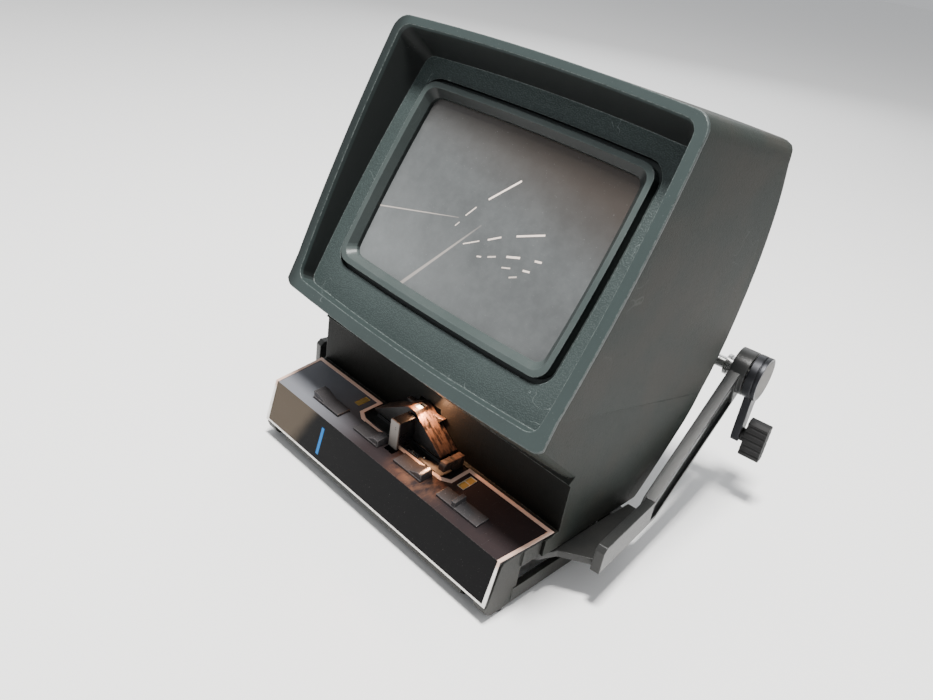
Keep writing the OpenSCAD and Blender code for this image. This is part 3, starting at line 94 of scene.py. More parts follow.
# The side view's zero, the panel's foot, in the row frame
FOOT_Y = -119.884
PHOTO_WIDTH_PX = 933
SENSOR_MM = 36.0

Colour = tuple[float, float, float]
Triple = tuple[float, float, float]
Span = tuple[float, float]

FRONT = (0.0, -1.0, 0.0)
UP = (0.0, 0.0, 1.0)

# The Bevel node's samples, and the bend of its normal from which an edge shows
BEVEL_SAMPLES = 6
EDGE_BEND = (0.004, 0.16)
# A hair scratch's half width in its noise, and the noise from which scratches show
HAIR_BAND = (0.003, 0.010)
HAIR_FROM = (0.66, 0.70)
HAIR_TURN_DEG = (31.0, 17.0, 50.0)
CELL_SMOOTHNESS = 0.35

# A copied node's shading, rounding and merging
SMOOTH_DEG = 35.0
ROUND_FROM_DEG = 32.0
ROUND_SEGMENTS = 2
FLAT_DEG = 0.4
MERGE_MM = 0.002
# A node whose seam leaves a step that is thinner than this; the copy closes it
WIDE_MERGE_MM: dict[str, float] = {"head_shell": 0.15}
# A slab's upright edges rise by more than this, in metres
UPRIGHT_RISE = 1e-7
CORNER_SEGMENTS = 4


def grey(value: float) -> Colour:
    """Returns a neutral colour of that linear value."""
    return (value, value, value)


def row(x: float, y: float, z: float) -> Vector:
    """Turns a place in the side view's millimetres into row-frame metres.

    Args:
        x: Distance to the right of the middle.
        y: Depth behind the panel's foot.
        z: Height over the table.

    Returns:
        The point in the row frame.
    """
    return Vector((x, y + FOOT_Y, z)) * MM


class Wire:
    """A socket of a node tree, or a plain number, that Python's operators work on."""

    def __init__(self, graph: "Graph", source: Union[bpy.types.NodeSocket, float]) -> None:
        """Wraps a socket or a number that belongs to a graph."""
        self.graph = graph
        self.source = source

    def math(self, operation: str, *others: Union["Wire", float]) -> "Wire":
        """Adds a Math node.

        Args:
            operation: The node's operation.
            others: The values after this one.

        Returns:
            The node's result.
        """
        values = {i: value for i, value in enumerate((self, *others))}
        return self.graph.node("Math", {"operation": operation}, values)

    def __add__(self, other: Union["Wire", float]) -> "Wire":
        """Returns the sum."""
        return self.math("ADD", other)

    def __radd__(self, other: float) -> "Wire":
        """Returns the sum, reflected."""
        return self.math("ADD", other)

    def __sub__(self, other: Union["Wire", float]) -> "Wire":
        """Returns the difference."""
        return self.math("SUBTRACT", other)

    def __rsub__(self, other: float) -> "Wire":
        """Returns the difference, reflected."""
        return Wire(self.graph, other).math("SUBTRACT", self)

    def __mul__(self, other: Union["Wire", float]) -> "Wire":
        """Returns the product."""
        return self.math("MULTIPLY", other)

    def __rmul__(self, other: float) -> "Wire":
        """Returns the product, reflected."""
        return self.math("MULTIPLY", other)

    def step(self, low: float, high: float) -> "Wire":
        """Maps low to 0 and high to 1 in a smooth step, clamped.

        Args:
            low: The value that gives 0.
            high: The value that gives 1.

        Returns:
            The mask.
        """
        settings = {"interpolation_type": "SMOOTHSTEP", "clamp": True}
        return self.graph.node("MapRange", settings, {0: self, 1: low, 2: high, 3: 0.0, 4: 1.0})

    def clamped(self) -> "Wire":
        """Returns the value held between 0 and 1."""
        return self.graph.node("Clamp", {}, {0: self, 1: 0.0, 2: 1.0})


class Graph:
    """The node tree of one material, built from its surface shader up."""

    def __init__(self, name: str) -> None:
        """Makes an empty material with its output node.

        Args:
            name: The material's name.
        """
        self.material = bpy.data.materials.new(name)
        self.material.use_nodes = True
        self.tree = self.material.node_tree
        self.tree.nodes.clear()
        self.output = self.tree.nodes.new("ShaderNodeOutputMaterial")
        self._place: Union[Wire, None] = None

    def node(self, kind: str, settings: dict[str, object], inputs: dict,
             out: Union[int, str] = 0) -> Wire:
        """Adds one node.

        Args:
            kind: The node's type without its ShaderNode prefix.
            settings: Properties that are set first.
            inputs: Values or wires by socket name or number.
            out: The output that is wanted.

        Returns:
            That output.
        """
        made = self.tree.nodes.new("ShaderNode" + kind)
        for key, value in settings.items():
            setattr(made, key, value)
        for key, value in inputs.items():
            socket = made.inputs[key]
            source = value.source if isinstance(value, Wire) else value
            if isinstance(source, bpy.types.NodeSocket):
                self.tree.links.new(source, socket)
            elif isinstance(source, tuple) and len(source) == 3 and socket.type == "RGBA":
                socket.default_value = (*source, 1.0)
            else:
                socket.default_value = source
        return Wire(self, made.outputs[out])

    @property
    def place(self) -> Wire:
        """The Object coordinates, which are row-frame metres on every piece.

        Returns:
            The coordinates, from one node for the whole graph.
        """
        if self._place is None:
            self._place = self.node("TexCoord", {}, {}, "Object")
        return self._place

    def stretched(self, scale: Triple, turn: Triple = (0.0, 0.0, 0.0)) -> Wire:
        """Returns the Object coordinates turned by degrees and scaled."""
        turned = tuple(math.radians(angle) for angle in turn)
        return self.node("Mapping", {}, {"Vector": self.place, "Rotation": turned, "Scale": scale})

    def noise(self, size_mm: float, detail: float = 3.0, rough: float = 0.55,
              at: Union[Wire, None] = None) -> Wire:
        """Adds a noise whose features are about that size.

        Args:
            size_mm: Size of a feature.
            detail: Octaves of finer noise.
            rough: Weight of the finer octaves.
            at: Coordinates, or None for the plain place.

        Returns:
            The noise from 0 to 1.
        """
        inputs = {"Vector": at or self.place, "Scale": 1.0 / (size_mm * MM),
                  "Detail": detail, "Roughness": rough}
        return self.node("TexNoise", {}, inputs)

    def cells(self, size_mm: float) -> Wire:
        """Adds a pattern of soft cells and returns its distance field."""
        inputs = {"Vector": self.place, "Scale": 1.0 / (size_mm * MM), "Smoothness": CELL_SMOOTHNESS}
        return self.node("TexVoronoi", {"feature": "SMOOTH_F1"}, inputs)

    def axis(self, name: str) -> Wire:
        """Returns one of the Object coordinates, X, Y or Z, in metres."""
        return self.node("SeparateXYZ", {}, {0: self.place}, name)

    def rising(self, name: str, span_mm: Span) -> Wire:
        """Returns a mask that rises from 0 to 1 along an axis, over a span in millimetres."""
        return self.axis(name).step(span_mm[0] * MM, span_mm[1] * MM)

    def dot(self, first: Wire, second: Union[Wire, Triple]) -> Wire:
        """Returns the dot product of two vectors."""
        return self.node("VectorMath", {"operation": "DOT_PRODUCT"}, {0: first, 1: second}, "Value")

    def scaled(self, colour: Union[Wire, Colour], factor: Wire) -> Wire:
        """Returns a colour times a factor."""
        return self.node("VectorMath", {"operation": "SCALE"}, {0: colour, "Scale": factor})

    def mix(self, factor: Union[Wire, float], first: Union[Wire, Colour],
            second: Union[Wire, Colour]) -> Wire:
        """Mixes two colours, the second where the factor is 1."""
        inputs = {0: factor, 6: first, 7: second}
        return self.node("Mix", {"data_type": "RGBA", "clamp_factor": True}, inputs, 2)

    def edges(self, radius_mm: float) -> Wire:
        """Returns a mask of the edges within that distance."""
        bend = 1.0 - self.dot(self.round_normal(radius_mm), self.node("NewGeometry", {}, {}, "Normal"))
        return bend.step(*EDGE_BEND)

    def round_normal(self, radius_mm: float) -> Wire:
        """Returns a normal that rounds the edges over that distance."""
        return self.node("Bevel", {"samples": BEVEL_SAMPLES}, {"Radius": radius_mm * MM})

    def facing(self, direction: Triple) -> Wire:
        """Returns how far the face's own normal points along a direction, from -1 to 1."""
        return self.dot(self.node("NewGeometry", {}, {}, "True Normal"), direction)

    def along(self, direction: Triple, origin: Triple) -> Wire:
        """Returns the distance in millimetres along a direction from a point in metres."""
        start = Vector(origin).dot(Vector(direction))
        return (self.dot(self.place, direction) - start) * (1.0 / MM)

    def hairs(self, size_mm: float, share: float) -> Wire:
        """Adds a mask of thin curved scratches.

        Args:
            size_mm: Size of their curves.
            share: How much more of the surface has them.

        Returns:
            The mask, 1 on a scratch.
        """
        band = (self.noise(size_mm, 1.5, 0.5) - 0.5).math("ABSOLUTE")
        turned = self.stretched((1.0, 1.0, 1.0), HAIR_TURN_DEG)
        where = self.noise(size_mm * 2.3, 2.0, 0.5, turned)
        low, high = HAIR_FROM
        return (1.0 - band.step(*HAIR_BAND)) * where.step(low - share, high - share)

    def bump(self, height: Wire, depth_mm: float, normal: Union[Wire, None] = None) -> Wire:
        """Adds a relief to a normal.

        Args:
            height: The relief, about 0 to 1.
            depth_mm: Its depth.
            normal: The normal that it bends, or None for the mesh's own.

        Returns:
            The bent normal.
        """
        inputs: dict = {"Height": height, "Distance": depth_mm * MM, "Strength": 1.0}
        if normal is not None:
            inputs["Normal"] = normal
        return self.node("Bump", {}, inputs)

    def surface(self, **inputs: object) -> Wire:
        """Adds the Principled shader; an underscore in a socket's name stands for a space."""
        named = {key.replace("_", " "): value for key, value in inputs.items()}
        return self.node("BsdfPrincipled", {}, named)

    def done(self, shader: Wire) -> bpy.types.Material:
        """Joins the shader to the output and returns the material."""
        self.tree.links.new(shader.source, self.output.inputs["Surface"])
        return self.material


@dataclass(frozen=True)
class Paint:
    """Skin of a casting or moulding: leather-like creases, two tones, scuffs and worn edges."""

    name: str
    colour: Colour
    second: Colour
    worn: Colour
    rough: float = 0.55
    grain_mm: float = 1.1
    grain_depth_mm: float = 0.06
    edge_mm: float = 0.9
    scuff: float = 0.5
    level: float = 0.35
    neck_top_mm: float = 0.0
    plate_normal: Union[Triple, None] = None
    neck_fade_mm: float = 8.0
    neck_dark: float = 0.84
    wall_dark: float = 0.80

    def shadow(self, g: Graph) -> Union[Wire, float]:
        """Darkens the neck's front, or a frame's inner walls, which get less light.

        Args:
            g: The material's graph.

        Returns:
            The share of the colour that stays.
        """
        if self.neck_top_mm:
            neck = g.facing(FRONT).step(0.6, 0.9)
            fade = (self.neck_top_mm - self.neck_fade_mm, self.neck_top_mm)
            return 1.0 - neck * (1.0 - g.rising("Z", fade)) * self.neck_dark
        if self.plate_normal is not None:
            wall = 1.0 - g.facing(self.plate_normal).step(0.80, 0.98)
            return 1.0 - wall * (1.0 - g.facing(UP).step(0.20, 0.60)) * self.wall_dark
        return 1.0

    def build(self) -> bpy.types.Material:
        """Builds the node material.

        Returns:
            The material.
        """
        g = Graph(self.name)
        grain = g.noise(self.grain_mm, 3.0, 0.55, g.stretched((1.0, 1.0, 0.5), (28.0, 0.0, 0.0)))
        crease = ((grain - 0.5).math("ABSOLUTE") * 4.0).clamped()
        cloud = g.noise(46.0, 4.0, 0.55)
        streak = g.noise(2.4, 3.0, 0.6, g.stretched((1.0, 1.0, 0.12), (14.0, 0.0, 0.0)))
        speck = g.noise(1.0, 2.0, 0.5).step(0.70, 0.75)
        edge = (g.edges(self.edge_mm) * g.noise(2.2, 5.0, 0.65).step(0.34, 0.70)).clamped()
        kept = self.shadow(g)
        marks = g.hairs(19.0, 0.01) * 0.5 + speck * cloud.step(0.40, 0.60) * 0.6
        scuff = marks.clamped() * kept * self.scuff
        tint = g.mix(cloud.step(0.36, 0.64), self.colour, self.second)
        shade = 0.80 + cloud * 0.20 + crease * 0.14 + (streak - 0.5) * 0.10
        colour = g.mix(scuff * 0.55, g.scaled(tint, shade * kept), self.worn)
        colour = g.mix(edge * 0.65, colour, self.worn)
        rough = (self.rough + (crease - 0.5) * 0.12 + scuff * 0.15 - edge * 0.10).clamped()
        normal = g.bump(crease + scuff * 0.4, self.grain_depth_mm, g.round_normal(self.edge_mm))
        return g.done(g.surface(Base_Color=colour, Roughness=rough, Normal=normal,
                                Specular_IOR_Level=self.level))


@dataclass(frozen=True)
class Pebble:
    """Moulding whose sunk plate has a pebble grain, and whose rim and walls are smooth.

    The walls (lining) and the left of the rim are darker, because they get less light.
    """

    name: str
    colour: Colour
    high: Colour
    worn: Colour
    plate_normal: Triple
    rim_point: Triple
    rim_inward: Triple
    cell_mm: float = 0.95
    depth_mm: float = 0.13
    rim_mm: Span = (1.5, 3.0)
    left_rim_mm: Span = (-110.0, -97.0)
    left_dark: float = 0.60
    lining_dark: float = 0.86

    def build(self) -> bpy.types.Material:
        """Builds the node material.

        Returns:
            The material.
        """
        g = Graph(self.name)
        inside = g.along(self.rim_inward, self.rim_point).step(*self.rim_mm)
        plate = g.facing(self.plate_normal).step(0.93, 0.985) * inside
        ridge = (1.0 - g.cells(self.cell_mm)).step(0.25, 0.95)
        fine = g.noise(0.5, 3.0, 0.6)
        cloud = g.noise(45.0, 4.0, 0.6)
        hair = g.hairs(9.0, 0.03)
        edge = (g.edges(1.0) * g.noise(2.0, 5.0, 0.65).step(0.34, 0.62)).clamped()
        dust = g.noise(0.8, 2.0, 0.5).step(0.70, 0.76) * 0.25
        base = g.mix(ridge * plate * 0.6, self.colour, self.high)
        shade = 0.80 + cloud * 0.30 + (fine - 0.5) * 0.12
        wall = inside * (1.0 - g.facing(self.plate_normal).step(0.60, 0.90))
        lining = wall * (1.0 - g.facing(UP).step(0.55, 0.85))
        left = (1.0 - inside) * (1.0 - g.rising("X", self.left_rim_mm))
        kept = (1.0 - lining * self.lining_dark) * (1.0 - left * self.left_dark)
        base = g.scaled(base, shade * kept)
        worn = (hair * 0.4 + edge * 0.55 + dust) * (1.0 - lining * 0.85)
        base = g.mix(worn.clamped(), base, self.worn)
        rough = 0.42 + lining * 0.12 + (1.0 - ridge) * plate * 0.14 + (fine - 0.5) * 0.14 - edge * 0.08
        normal = g.bump(ridge * plate + fine * 0.16, self.depth_mm, g.round_normal(1.0))
        return g.done(g.surface(Base_Color=base, Roughness=rough.clamped(), Normal=normal,
                                Specular_IOR_Level=0.32))


@dataclass(frozen=True)
class Wrinkle:
    """Black crinkled shield: its slopes and edges carry a painted copper sheen of the lamp's light,
    stronger higher up, and its gable stays dark.
    """

    name: str
    black: Colour
    painted_sheen_tone: Colour
    painted_sheen_rise_mm: Span = (44.0, 62.0)

    def build(self) -> bpy.types.Material:
        """Builds the node material.

        Returns:
            The material.
        """
        g = Graph(self.name)
        slope = 1.0 - g.facing(FRONT).math("ABSOLUTE").step(0.45, 0.80)
        lift = g.rising("Z", self.painted_sheen_rise_mm)
        flow = g.noise(2.6, 4.0, 0.6, g.stretched((0.35, 1.0, 0.35), (0.0, 30.0, 0.0)))
        crinkle = (g.noise(1.0, 3.0, 0.6) - 0.5).math("ABSOLUTE") * 3.0
        edge = g.edges(0.5)
        # Painted sheen: copper colour on the slopes, stronger higher up, and on the edges, standing in
        # for the lamp's light
        painted_sheen = (slope * (0.22 + lift * 0.78) * flow.step(0.40, 0.64) + edge * 0.35).clamped()
        base = g.mix(painted_sheen, self.black, self.painted_sheen_tone)
        rough = (0.30 + flow * 0.16 + (1.0 - slope) * 0.10).clamped()
        metallic = (painted_sheen * 0.8).clamped()
        normal = g.bump(crinkle.clamped(), 0.10, g.round_normal(0.5))
        return g.done(g.surface(Base_Color=base, Roughness=rough, Metallic=metallic, Normal=normal))


@dataclass(frozen=True)
class Scratch:
    """One scratch on the screen, from end to end in the screen's own millimetres."""

    start: Span
    end: Span
    width_mm: float
    bright: float
    taper: float = 1.0


@dataclass(frozen=True)
class Screen:
    """Frosted viewing screen with handling scratches and a painted lamp glint in them, painted hood
    shade at the top and painted light at the lower left.
    """

    name: str
    colour: Colour
    centre: Triple
    tilt_deg: float
    scratches: tuple[Scratch, ...]
    shade_tone: Colour = (0.040, 0.030, 0.024)
    dust_tone: Colour = (0.50, 0.51, 0.50)
    scratch_glint_tone: Colour = (1.0, 0.86, 0.76)

    def build(self) -> bpy.types.Material:
        """Builds the node material.

        Returns:
            The material.
        """
        g = Graph(self.name)
        x = g.axis("X") * (1.0 / MM)
        tilt = math.radians(self.tilt_deg)
        v = g.along((0.0, math.sin(tilt), math.cos(tilt)), self.centre)
        scratch_and_glint = None
        for scratch in self.scratches:
            mask = self.line(x, v, scratch)
            scratch_and_glint = mask if scratch_and_glint is None else scratch_and_glint.math("MAXIMUM", mask)
        haze = g.noise(28.0, 4.0, 0.6)
        wipe = g.noise(1.3, 3.0, 0.6, g.stretched((0.16, 1.0, 1.0), (0.0, 35.0, 0.0)))
        speck = g.noise(0.9, 2.0, 0.5).step(0.70, 0.76)
        # Painted light and shade: the lower left is lighter where the light falls, and the hood's
        # painted shadow darkens the upper part
        low = 1.0 - (v + x * 0.55).step(-15.0, 95.0)
        high = (v + x * 0.22).step(96.0, 150.0)
        mottle = g.noise(7.0, 5.0, 0.7).step(0.35, 0.68)
        shade = 0.58 + haze * 0.44 + mottle * 0.10 + wipe * 0.08 + low * 0.75
        base = g.mix(high * 0.92, g.scaled(self.colour, shade), self.shade_tone)
        base = g.mix(speck * 0.18, base, self.dust_tone)
        # The scratches are pale, partly from their own scattering and partly from a painted warm glint
        # of the lamp
        base = g.mix(scratch_and_glint, base, self.scratch_glint_tone)
        rough = (0.26 + haze * 0.12 + wipe * 0.05 + scratch_and_glint * 0.3).clamped()
        normal = g.bump(g.noise(0.45, 2.0, 0.5) + scratch_and_glint * 0.8, 0.012)
        shader = g.surface(Base_Color=base, Roughness=rough, Normal=normal, Specular_IOR_Level=0.5,
                           Transmission_Weight=0.12, IOR=1.49)
        return g.done(shader)

    @staticmethod
    def line(x: Wire, v: Wire, scratch: Scratch) -> Wire:
        """Makes the mask of one scratch from its distance to the surface point.

        Args:
            x: Place across the screen in millimetres.
            v: Place up the screen in millimetres.
            scratch: The scratch.

        Returns:
            The mask, as bright as the scratch.
        """
        (x0, v0), (x1, v1) = scratch.start, scratch.end
        length = math.hypot(x1 - x0, v1 - v0)
        ux, uv = (x1 - x0) / length, (v1 - v0) / length
        along = (x - x0) * ux + (v - v0) * uv
        beside = ((x - x0) * uv - (v - v0) * ux).math("ABSOLUTE")
        half = (along * ((scratch.taper - 1.0) / length) + 1.0).clamped() * (scratch.width_mm * 0.5)
        near = 1.0 - (beside - half * 0.7).step(0.0, scratch.width_mm * 0.2)
        over = along.step(0.0, 0.5) * (1.0 - along.step(length - 0.5, length))
        fade = 1.0 - along.step(length * 0.6, length * 1.1) * (1.0 - scratch.taper)
        return near * over * fade * scratch.bright


@dataclass(frozen=True)
class Gloss:
    """Glossy black enamelled panel with fine hairline scratches and dust.

    Its top carries a painted warm glow of the lamp's light near the lamp and a pale
    painted reflection of the sky on the left, and the left end of its front carries a
    brown painted reflection of the room.
    """

    name: str
    colour: Colour
    painted_glow: Colour
    painted_glow_at: Triple
    deep: Colour = (0.026, 0.020, 0.021)
    sky: Colour = (0.170, 0.176, 0.195)
    room: Colour = (0.095, 0.075, 0.055)
    painted_glow_mm: float = 32.0
    rough: float = 0.20
    sky_mm: Span = (-85.0, -10.0)
    room_mm: Span = (-84.0, -70.0)
    room_slant: float = -0.5
    room_wander_mm: float = 10.0
    dust_tone: Colour = (0.36, 0.34, 0.31)
    edge_tone: Colour = (0.20, 0.19, 0.18)

    def build(self) -> bpy.types.Material:
        """Builds the node material.

        Returns:
            The material.
        """
        g = Graph(self.name)
        # Painted light: a warm glow of the lamp on the panel's top, broken by noise
        away = g.node("VectorMath", {"operation": "DISTANCE"}, {0: g.place, 1: self.painted_glow_at}, "Value")
        warm = 1.0 - away.step(self.painted_glow_mm * 0.15 * MM, self.painted_glow_mm * MM)
        warm = warm * g.noise(5.0, 4.0, 0.65, g.stretched((1.0, 0.5, 1.0))).step(0.30, 0.66)
        dust = g.noise(0.7, 2.0, 0.6).step(0.70, 0.76)
        smear = g.noise(26.0, 4.0, 0.6)
        swept = g.stretched((1.0, 0.03, 1.0), (0.0, 0.0, 22.0))
        hair = g.noise(0.8, 2.0, 0.5, swept).step(0.70, 0.74)
        edge = g.edges(0.45) * g.noise(1.8, 4.0, 0.6).step(0.36, 0.6)
        top = g.facing(UP).step(0.6, 0.9)
        # Painted reflections: the pale sky on the left of the top, the brown room on the front's left
        # end
        left = 1.0 - g.rising("X", self.sky_mm)
        base = g.mix(top, self.colour, self.deep)
        base = g.mix(top * left * 0.9, base, self.sky)
        slant = g.axis("X") + g.axis("Z") * self.room_slant + smear * (self.room_wander_mm * MM)
        painted_room_reflection = 1.0 - slant.step(self.room_mm[0] * MM, self.room_mm[1] * MM)
        base = g.mix((1.0 - top) * painted_room_reflection * 0.8, base, self.room)
        base = g.mix(warm * top * 0.7, base, self.painted_glow)
        base = g.mix(dust * 0.20, base, self.dust_tone)
        base = g.mix(edge * 0.35, base, self.edge_tone)
        rough = (self.rough + smear * 0.10 + dust * 0.20 + hair * 0.16).clamped()
        normal = g.bump(smear + hair * 0.1, 0.03, g.round_normal(0.5))
        return g.done(g.surface(Base_Color=base, Roughness=rough, Normal=normal,
                                Specular_IOR_Level=0.05))


@dataclass(frozen=True)
class Metal:
    """Bright or blackened metal with brushing lines, tarnish and rubbed edges.

    Where warm is set, the part above a set height takes that colour and glows faintly, a painted glow
    standing in for the lamp's light that it reflects.
    """

    name: str
    colour: Colour
    tarnish: Colour
    rough: float = 0.28
    metallic: float = 1.0
    brush: Triple = (1.0, 1.0, 0.04)
    brush_mm: float = 0.5
    edge_mm: float = 0.35
    warm: Union[Colour, None] = None
    painted_light_from_mm: float = 36.0
    painted_light_over_mm: float = 4.0
    painted_light_strength: float = 0.07

    def build(self) -> bpy.types.Material:
        """Builds the node material.

        Returns:
            The material.
        """
        g = Graph(self.name)
        line = g.noise(self.brush_mm, 3.0, 0.6, g.stretched(self.brush))
        cloud = g.noise(9.0, 5.0, 0.62)
        pit = g.noise(0.7, 3.0, 0.6).step(0.62, 0.74)
        edge = g.edges(self.edge_mm)
        dull = (cloud.step(0.45, 0.72) * 0.6 + pit * 0.35) * (1.0 - edge * 0.7)
        base = g.mix(dull, self.colour, self.tarnish)
        shine: Union[Wire, float] = self.metallic
        light: dict[str, object] = {}
        # Painted light: the warm colour and faint emission stand in for the lamp's light on the upper
        # part
        if self.warm is not None:
            height = g.rising("Z", (self.painted_light_from_mm, self.painted_light_from_mm + self.painted_light_over_mm))
            base = g.mix(height * 0.9, base, self.warm)
            shine = self.metallic - height * self.metallic
            light["Emission_Color"] = g.mix(height, grey(0.0), self.warm)
            light["Emission_Strength"] = self.painted_light_strength
        rough = (self.rough + (line - 0.5) * 0.16 + dull * 0.22).clamped()
        metallic = (shine - dull * 0.35 * shine).clamped()
        normal = g.bump(line, 0.015, g.round_normal(self.edge_mm))
        return g.done(g.surface(Base_Color=base, Roughness=rough, Metallic=metallic,
                                Normal=normal, **light))


@dataclass(frozen=True)
class Moulding:
    """Moulded plastic or rubber with a fine skin and rubbed edges."""

    name: str
    colour: Colour
    worn: Colour
    rough: float = 0.42
    skin_mm: float = 0.5
    depth_mm: float = 0.03
    edge_mm: float = 0.6
    wear: float = 0.7
    dust: float = 0.0

    def build(self) -> bpy.types.Material:
        """Builds the node material.

        Returns:
            The material.
        """
        g = Graph(self.name)
        skin = g.noise(self.skin_mm, 3.0, 0.6)
        speck = g.noise(0.7, 3.0, 0.6).step(0.62, 0.72) * self.dust
        cloud = g.noise(7.0, 4.0, 0.6)
        edge = (g.edges(self.edge_mm) * g.noise(1.4, 4.0, 0.6).step(0.32, 0.62)).clamped()
        shade = 0.8 + cloud * 0.3 + (skin - 0.5) * 0.14
        worn = (edge * self.wear + speck).clamped()
        base = g.mix(worn, g.scaled(self.colour, shade), self.worn)
        rough = (self.rough + (cloud - 0.5) * 0.18 + (skin - 0.5) * 0.08 + speck * 0.3).clamped()
        normal = g.bump(skin, self.depth_mm, g.round_normal(self.edge_mm))
        return g.done(g.surface(Base_Color=base, Roughness=rough, Normal=normal))


@dataclass(frozen=True)
class Layers:
    """Pressed laminations or wound wire: thin lines across one axis."""

    name: str
    colour: Colour
    gap: Colour
    pitch_mm: float
    axis: str
    metallic: float
    rough: float = 0.38

    def build(self) -> bpy.types.Material:
        """Builds the node material.

        Returns:
            The material.
        """
        g = Graph(self.name)
        wave = (g.axis(self.axis) * (1.0 / (self.pitch_mm * MM))).math("FRACT")
        lip = (wave - 0.5).math("ABSOLUTE")
        crown = 1.0 - lip.step(0.22, 0.5)
        cloud = g.noise(6.0, 4.0, 0.6)
        speck = g.noise(0.8, 3.0, 0.6)
        base = g.mix(crown, self.gap, self.colour)
        base = g.mix(cloud.step(0.5, 0.75) * 0.35, base, self.gap)
        rough = (self.rough + (speck - 0.5) * 0.2 + (1.0 - crown) * 0.2).clamped()
        metallic = (crown * self.metallic).clamped()
        normal = g.bump(crown + speck * 0.1, self.pitch_mm * 0.3)
        return g.done(g.surface(Base_Color=base, Roughness=rough, Metallic=metallic, Normal=normal))


@dataclass(frozen=True)
class Glass:
    """Clear optical glass with faint dust."""

    name: str
    tint: Colour
    rough: float = 0.03
    ior: float = 1.52
    dust_tone: Colour = (0.5, 0.5, 0.48)

    def build(self) -> bpy.types.Material:
        """Builds the node material.

        Returns:
            The material.
        """
        g = Graph(self.name)
        dust = g.noise(0.6, 3.0, 0.7).step(0.62, 0.74)
        base = g.mix(dust * 0.3, self.tint, self.dust_tone)
        rough = (self.rough + dust * 0.25 + g.noise(6.0) * 0.03).clamped()
        shader = g.surface(Base_Color=base, Roughness=rough, Transmission_Weight=0.92, IOR=self.ior)
        return g.done(shader)


@dataclass(frozen=True)
class Glow:
    """A surface that shines by itself in two tones: hot wire, or a patch that paints the lamp's light
    in the aperture.
    """

    name: str
    colour: Colour
    strength: float
    pale: Colour = (1.0, 0.86, 0.62)

    def build(self) -> bpy.types.Material:
        """Builds the node material.

        Returns:
            The material.
        """
        g = Graph(self.name)
        ripple = g.noise(0.4, 2.0, 0.5)
        light = g.mix(ripple, self.colour, self.pale)
        shader = g.surface(Base_Color=grey(0.3), Roughness=0.5, Emission_Color=light,
                           Emission_Strength=self.strength)
        return g.done(shader)


@dataclass(frozen=True)
class Print:
    """Screen-printed ink, slightly broken where it is rubbed."""

    name: str
    ink: Colour
    under: Colour
    metallic: float = 0.0

    def build(self) -> bpy.types.Material:
        """Builds the node material.

        Returns:
            The material.
        """
        g = Graph(self.name)
        rub = g.noise(0.5, 4.0, 0.65).step(0.60, 0.72)
        tone = g.noise(3.0, 3.0, 0.5)
        base = g.mix(rub * 0.45, self.ink, self.under)
        rough = (0.3 + tone * 0.15 + rub * 0.2).clamped()
        metallic = (self.metallic * (1.0 - rub)).clamped() if self.metallic else 0.0
        normal = g.bump(tone, 0.01)
        return g.done(g.surface(Base_Color=base, Roughness=rough, Metallic=metallic, Normal=normal,
                                Specular_IOR_Level=0.15))


# The screen plate's middle in the side view, its lean back from upright, its face's direction
PLATE_AT = (0.0, 22.5177, 107.9359)
PLATE_LEAN_DEG = 29.6
PLATE_LEAN = math.radians(PLATE_LEAN_DEG)
PLATE_NORMAL = (0.0, -math.cos(PLATE_LEAN), math.sin(PLATE_LEAN))
# A point of the bezel's rim in the side view, and the way in from it
RIM_AT = (0.0, 13.6, 112.0)
RIM_INWARD = (0.0, 0.9100, -0.4147)
# Where the painted glow of the lamp's light sits on the panel, in the side view
PAINTED_GLOW_AT = (27.0, 25.0, 44.0)

# Ends across and up the screen in millimetres, width, brightness and taper of each scratch; the
# brightness also paints the lamp's glint in it
SCRATCHES = (
    Scratch((-6.0, 102.5), (9.0, 120.0), 1.3, 1.0),
    Scratch((-15.5, 88.5), (-11.0, 96.0), 0.9, 0.75),
    Scratch((-19.0, 80.5), (-17.0, 84.0), 0.8, 0.6),
    Scratch((-7.5, 73.5), (2.5, 79.5), 0.8, 0.75),
    Scratch((7.0, 82.0), (15.0, 87.0), 1.1, 0.85),
    Scratch((23.5, 91.0), (40.5, 98.5), 1.2, 0.9),
    Scratch((5.5, 71.0), (9.0, 72.0), 1.0, 0.7),
    Scratch((12.5, 73.5), (18.0, 76.0), 1.0, 0.55),
    Scratch((24.0, 78.5), (33.0, 81.5), 1.4, 0.85),
    Scratch((42.0, 83.5), (47.0, 84.5), 1.3, 0.8),
    Scratch((24.5, 72.0), (30.5, 74.0), 0.9, 0.6),
    Scratch((38.0, 76.0), (43.0, 77.0), 1.2, 0.8),
    Scratch((32.0, 69.0), (37.0, 71.5), 1.0, 0.45),
    Scratch((-82.5, 70.0), (-19.0, 86.0), 1.0, 0.34, 0.3),
    Scratch((-36.5, 33.5), (-1.5, 88.0), 2.6, 0.24, 0.15),
)


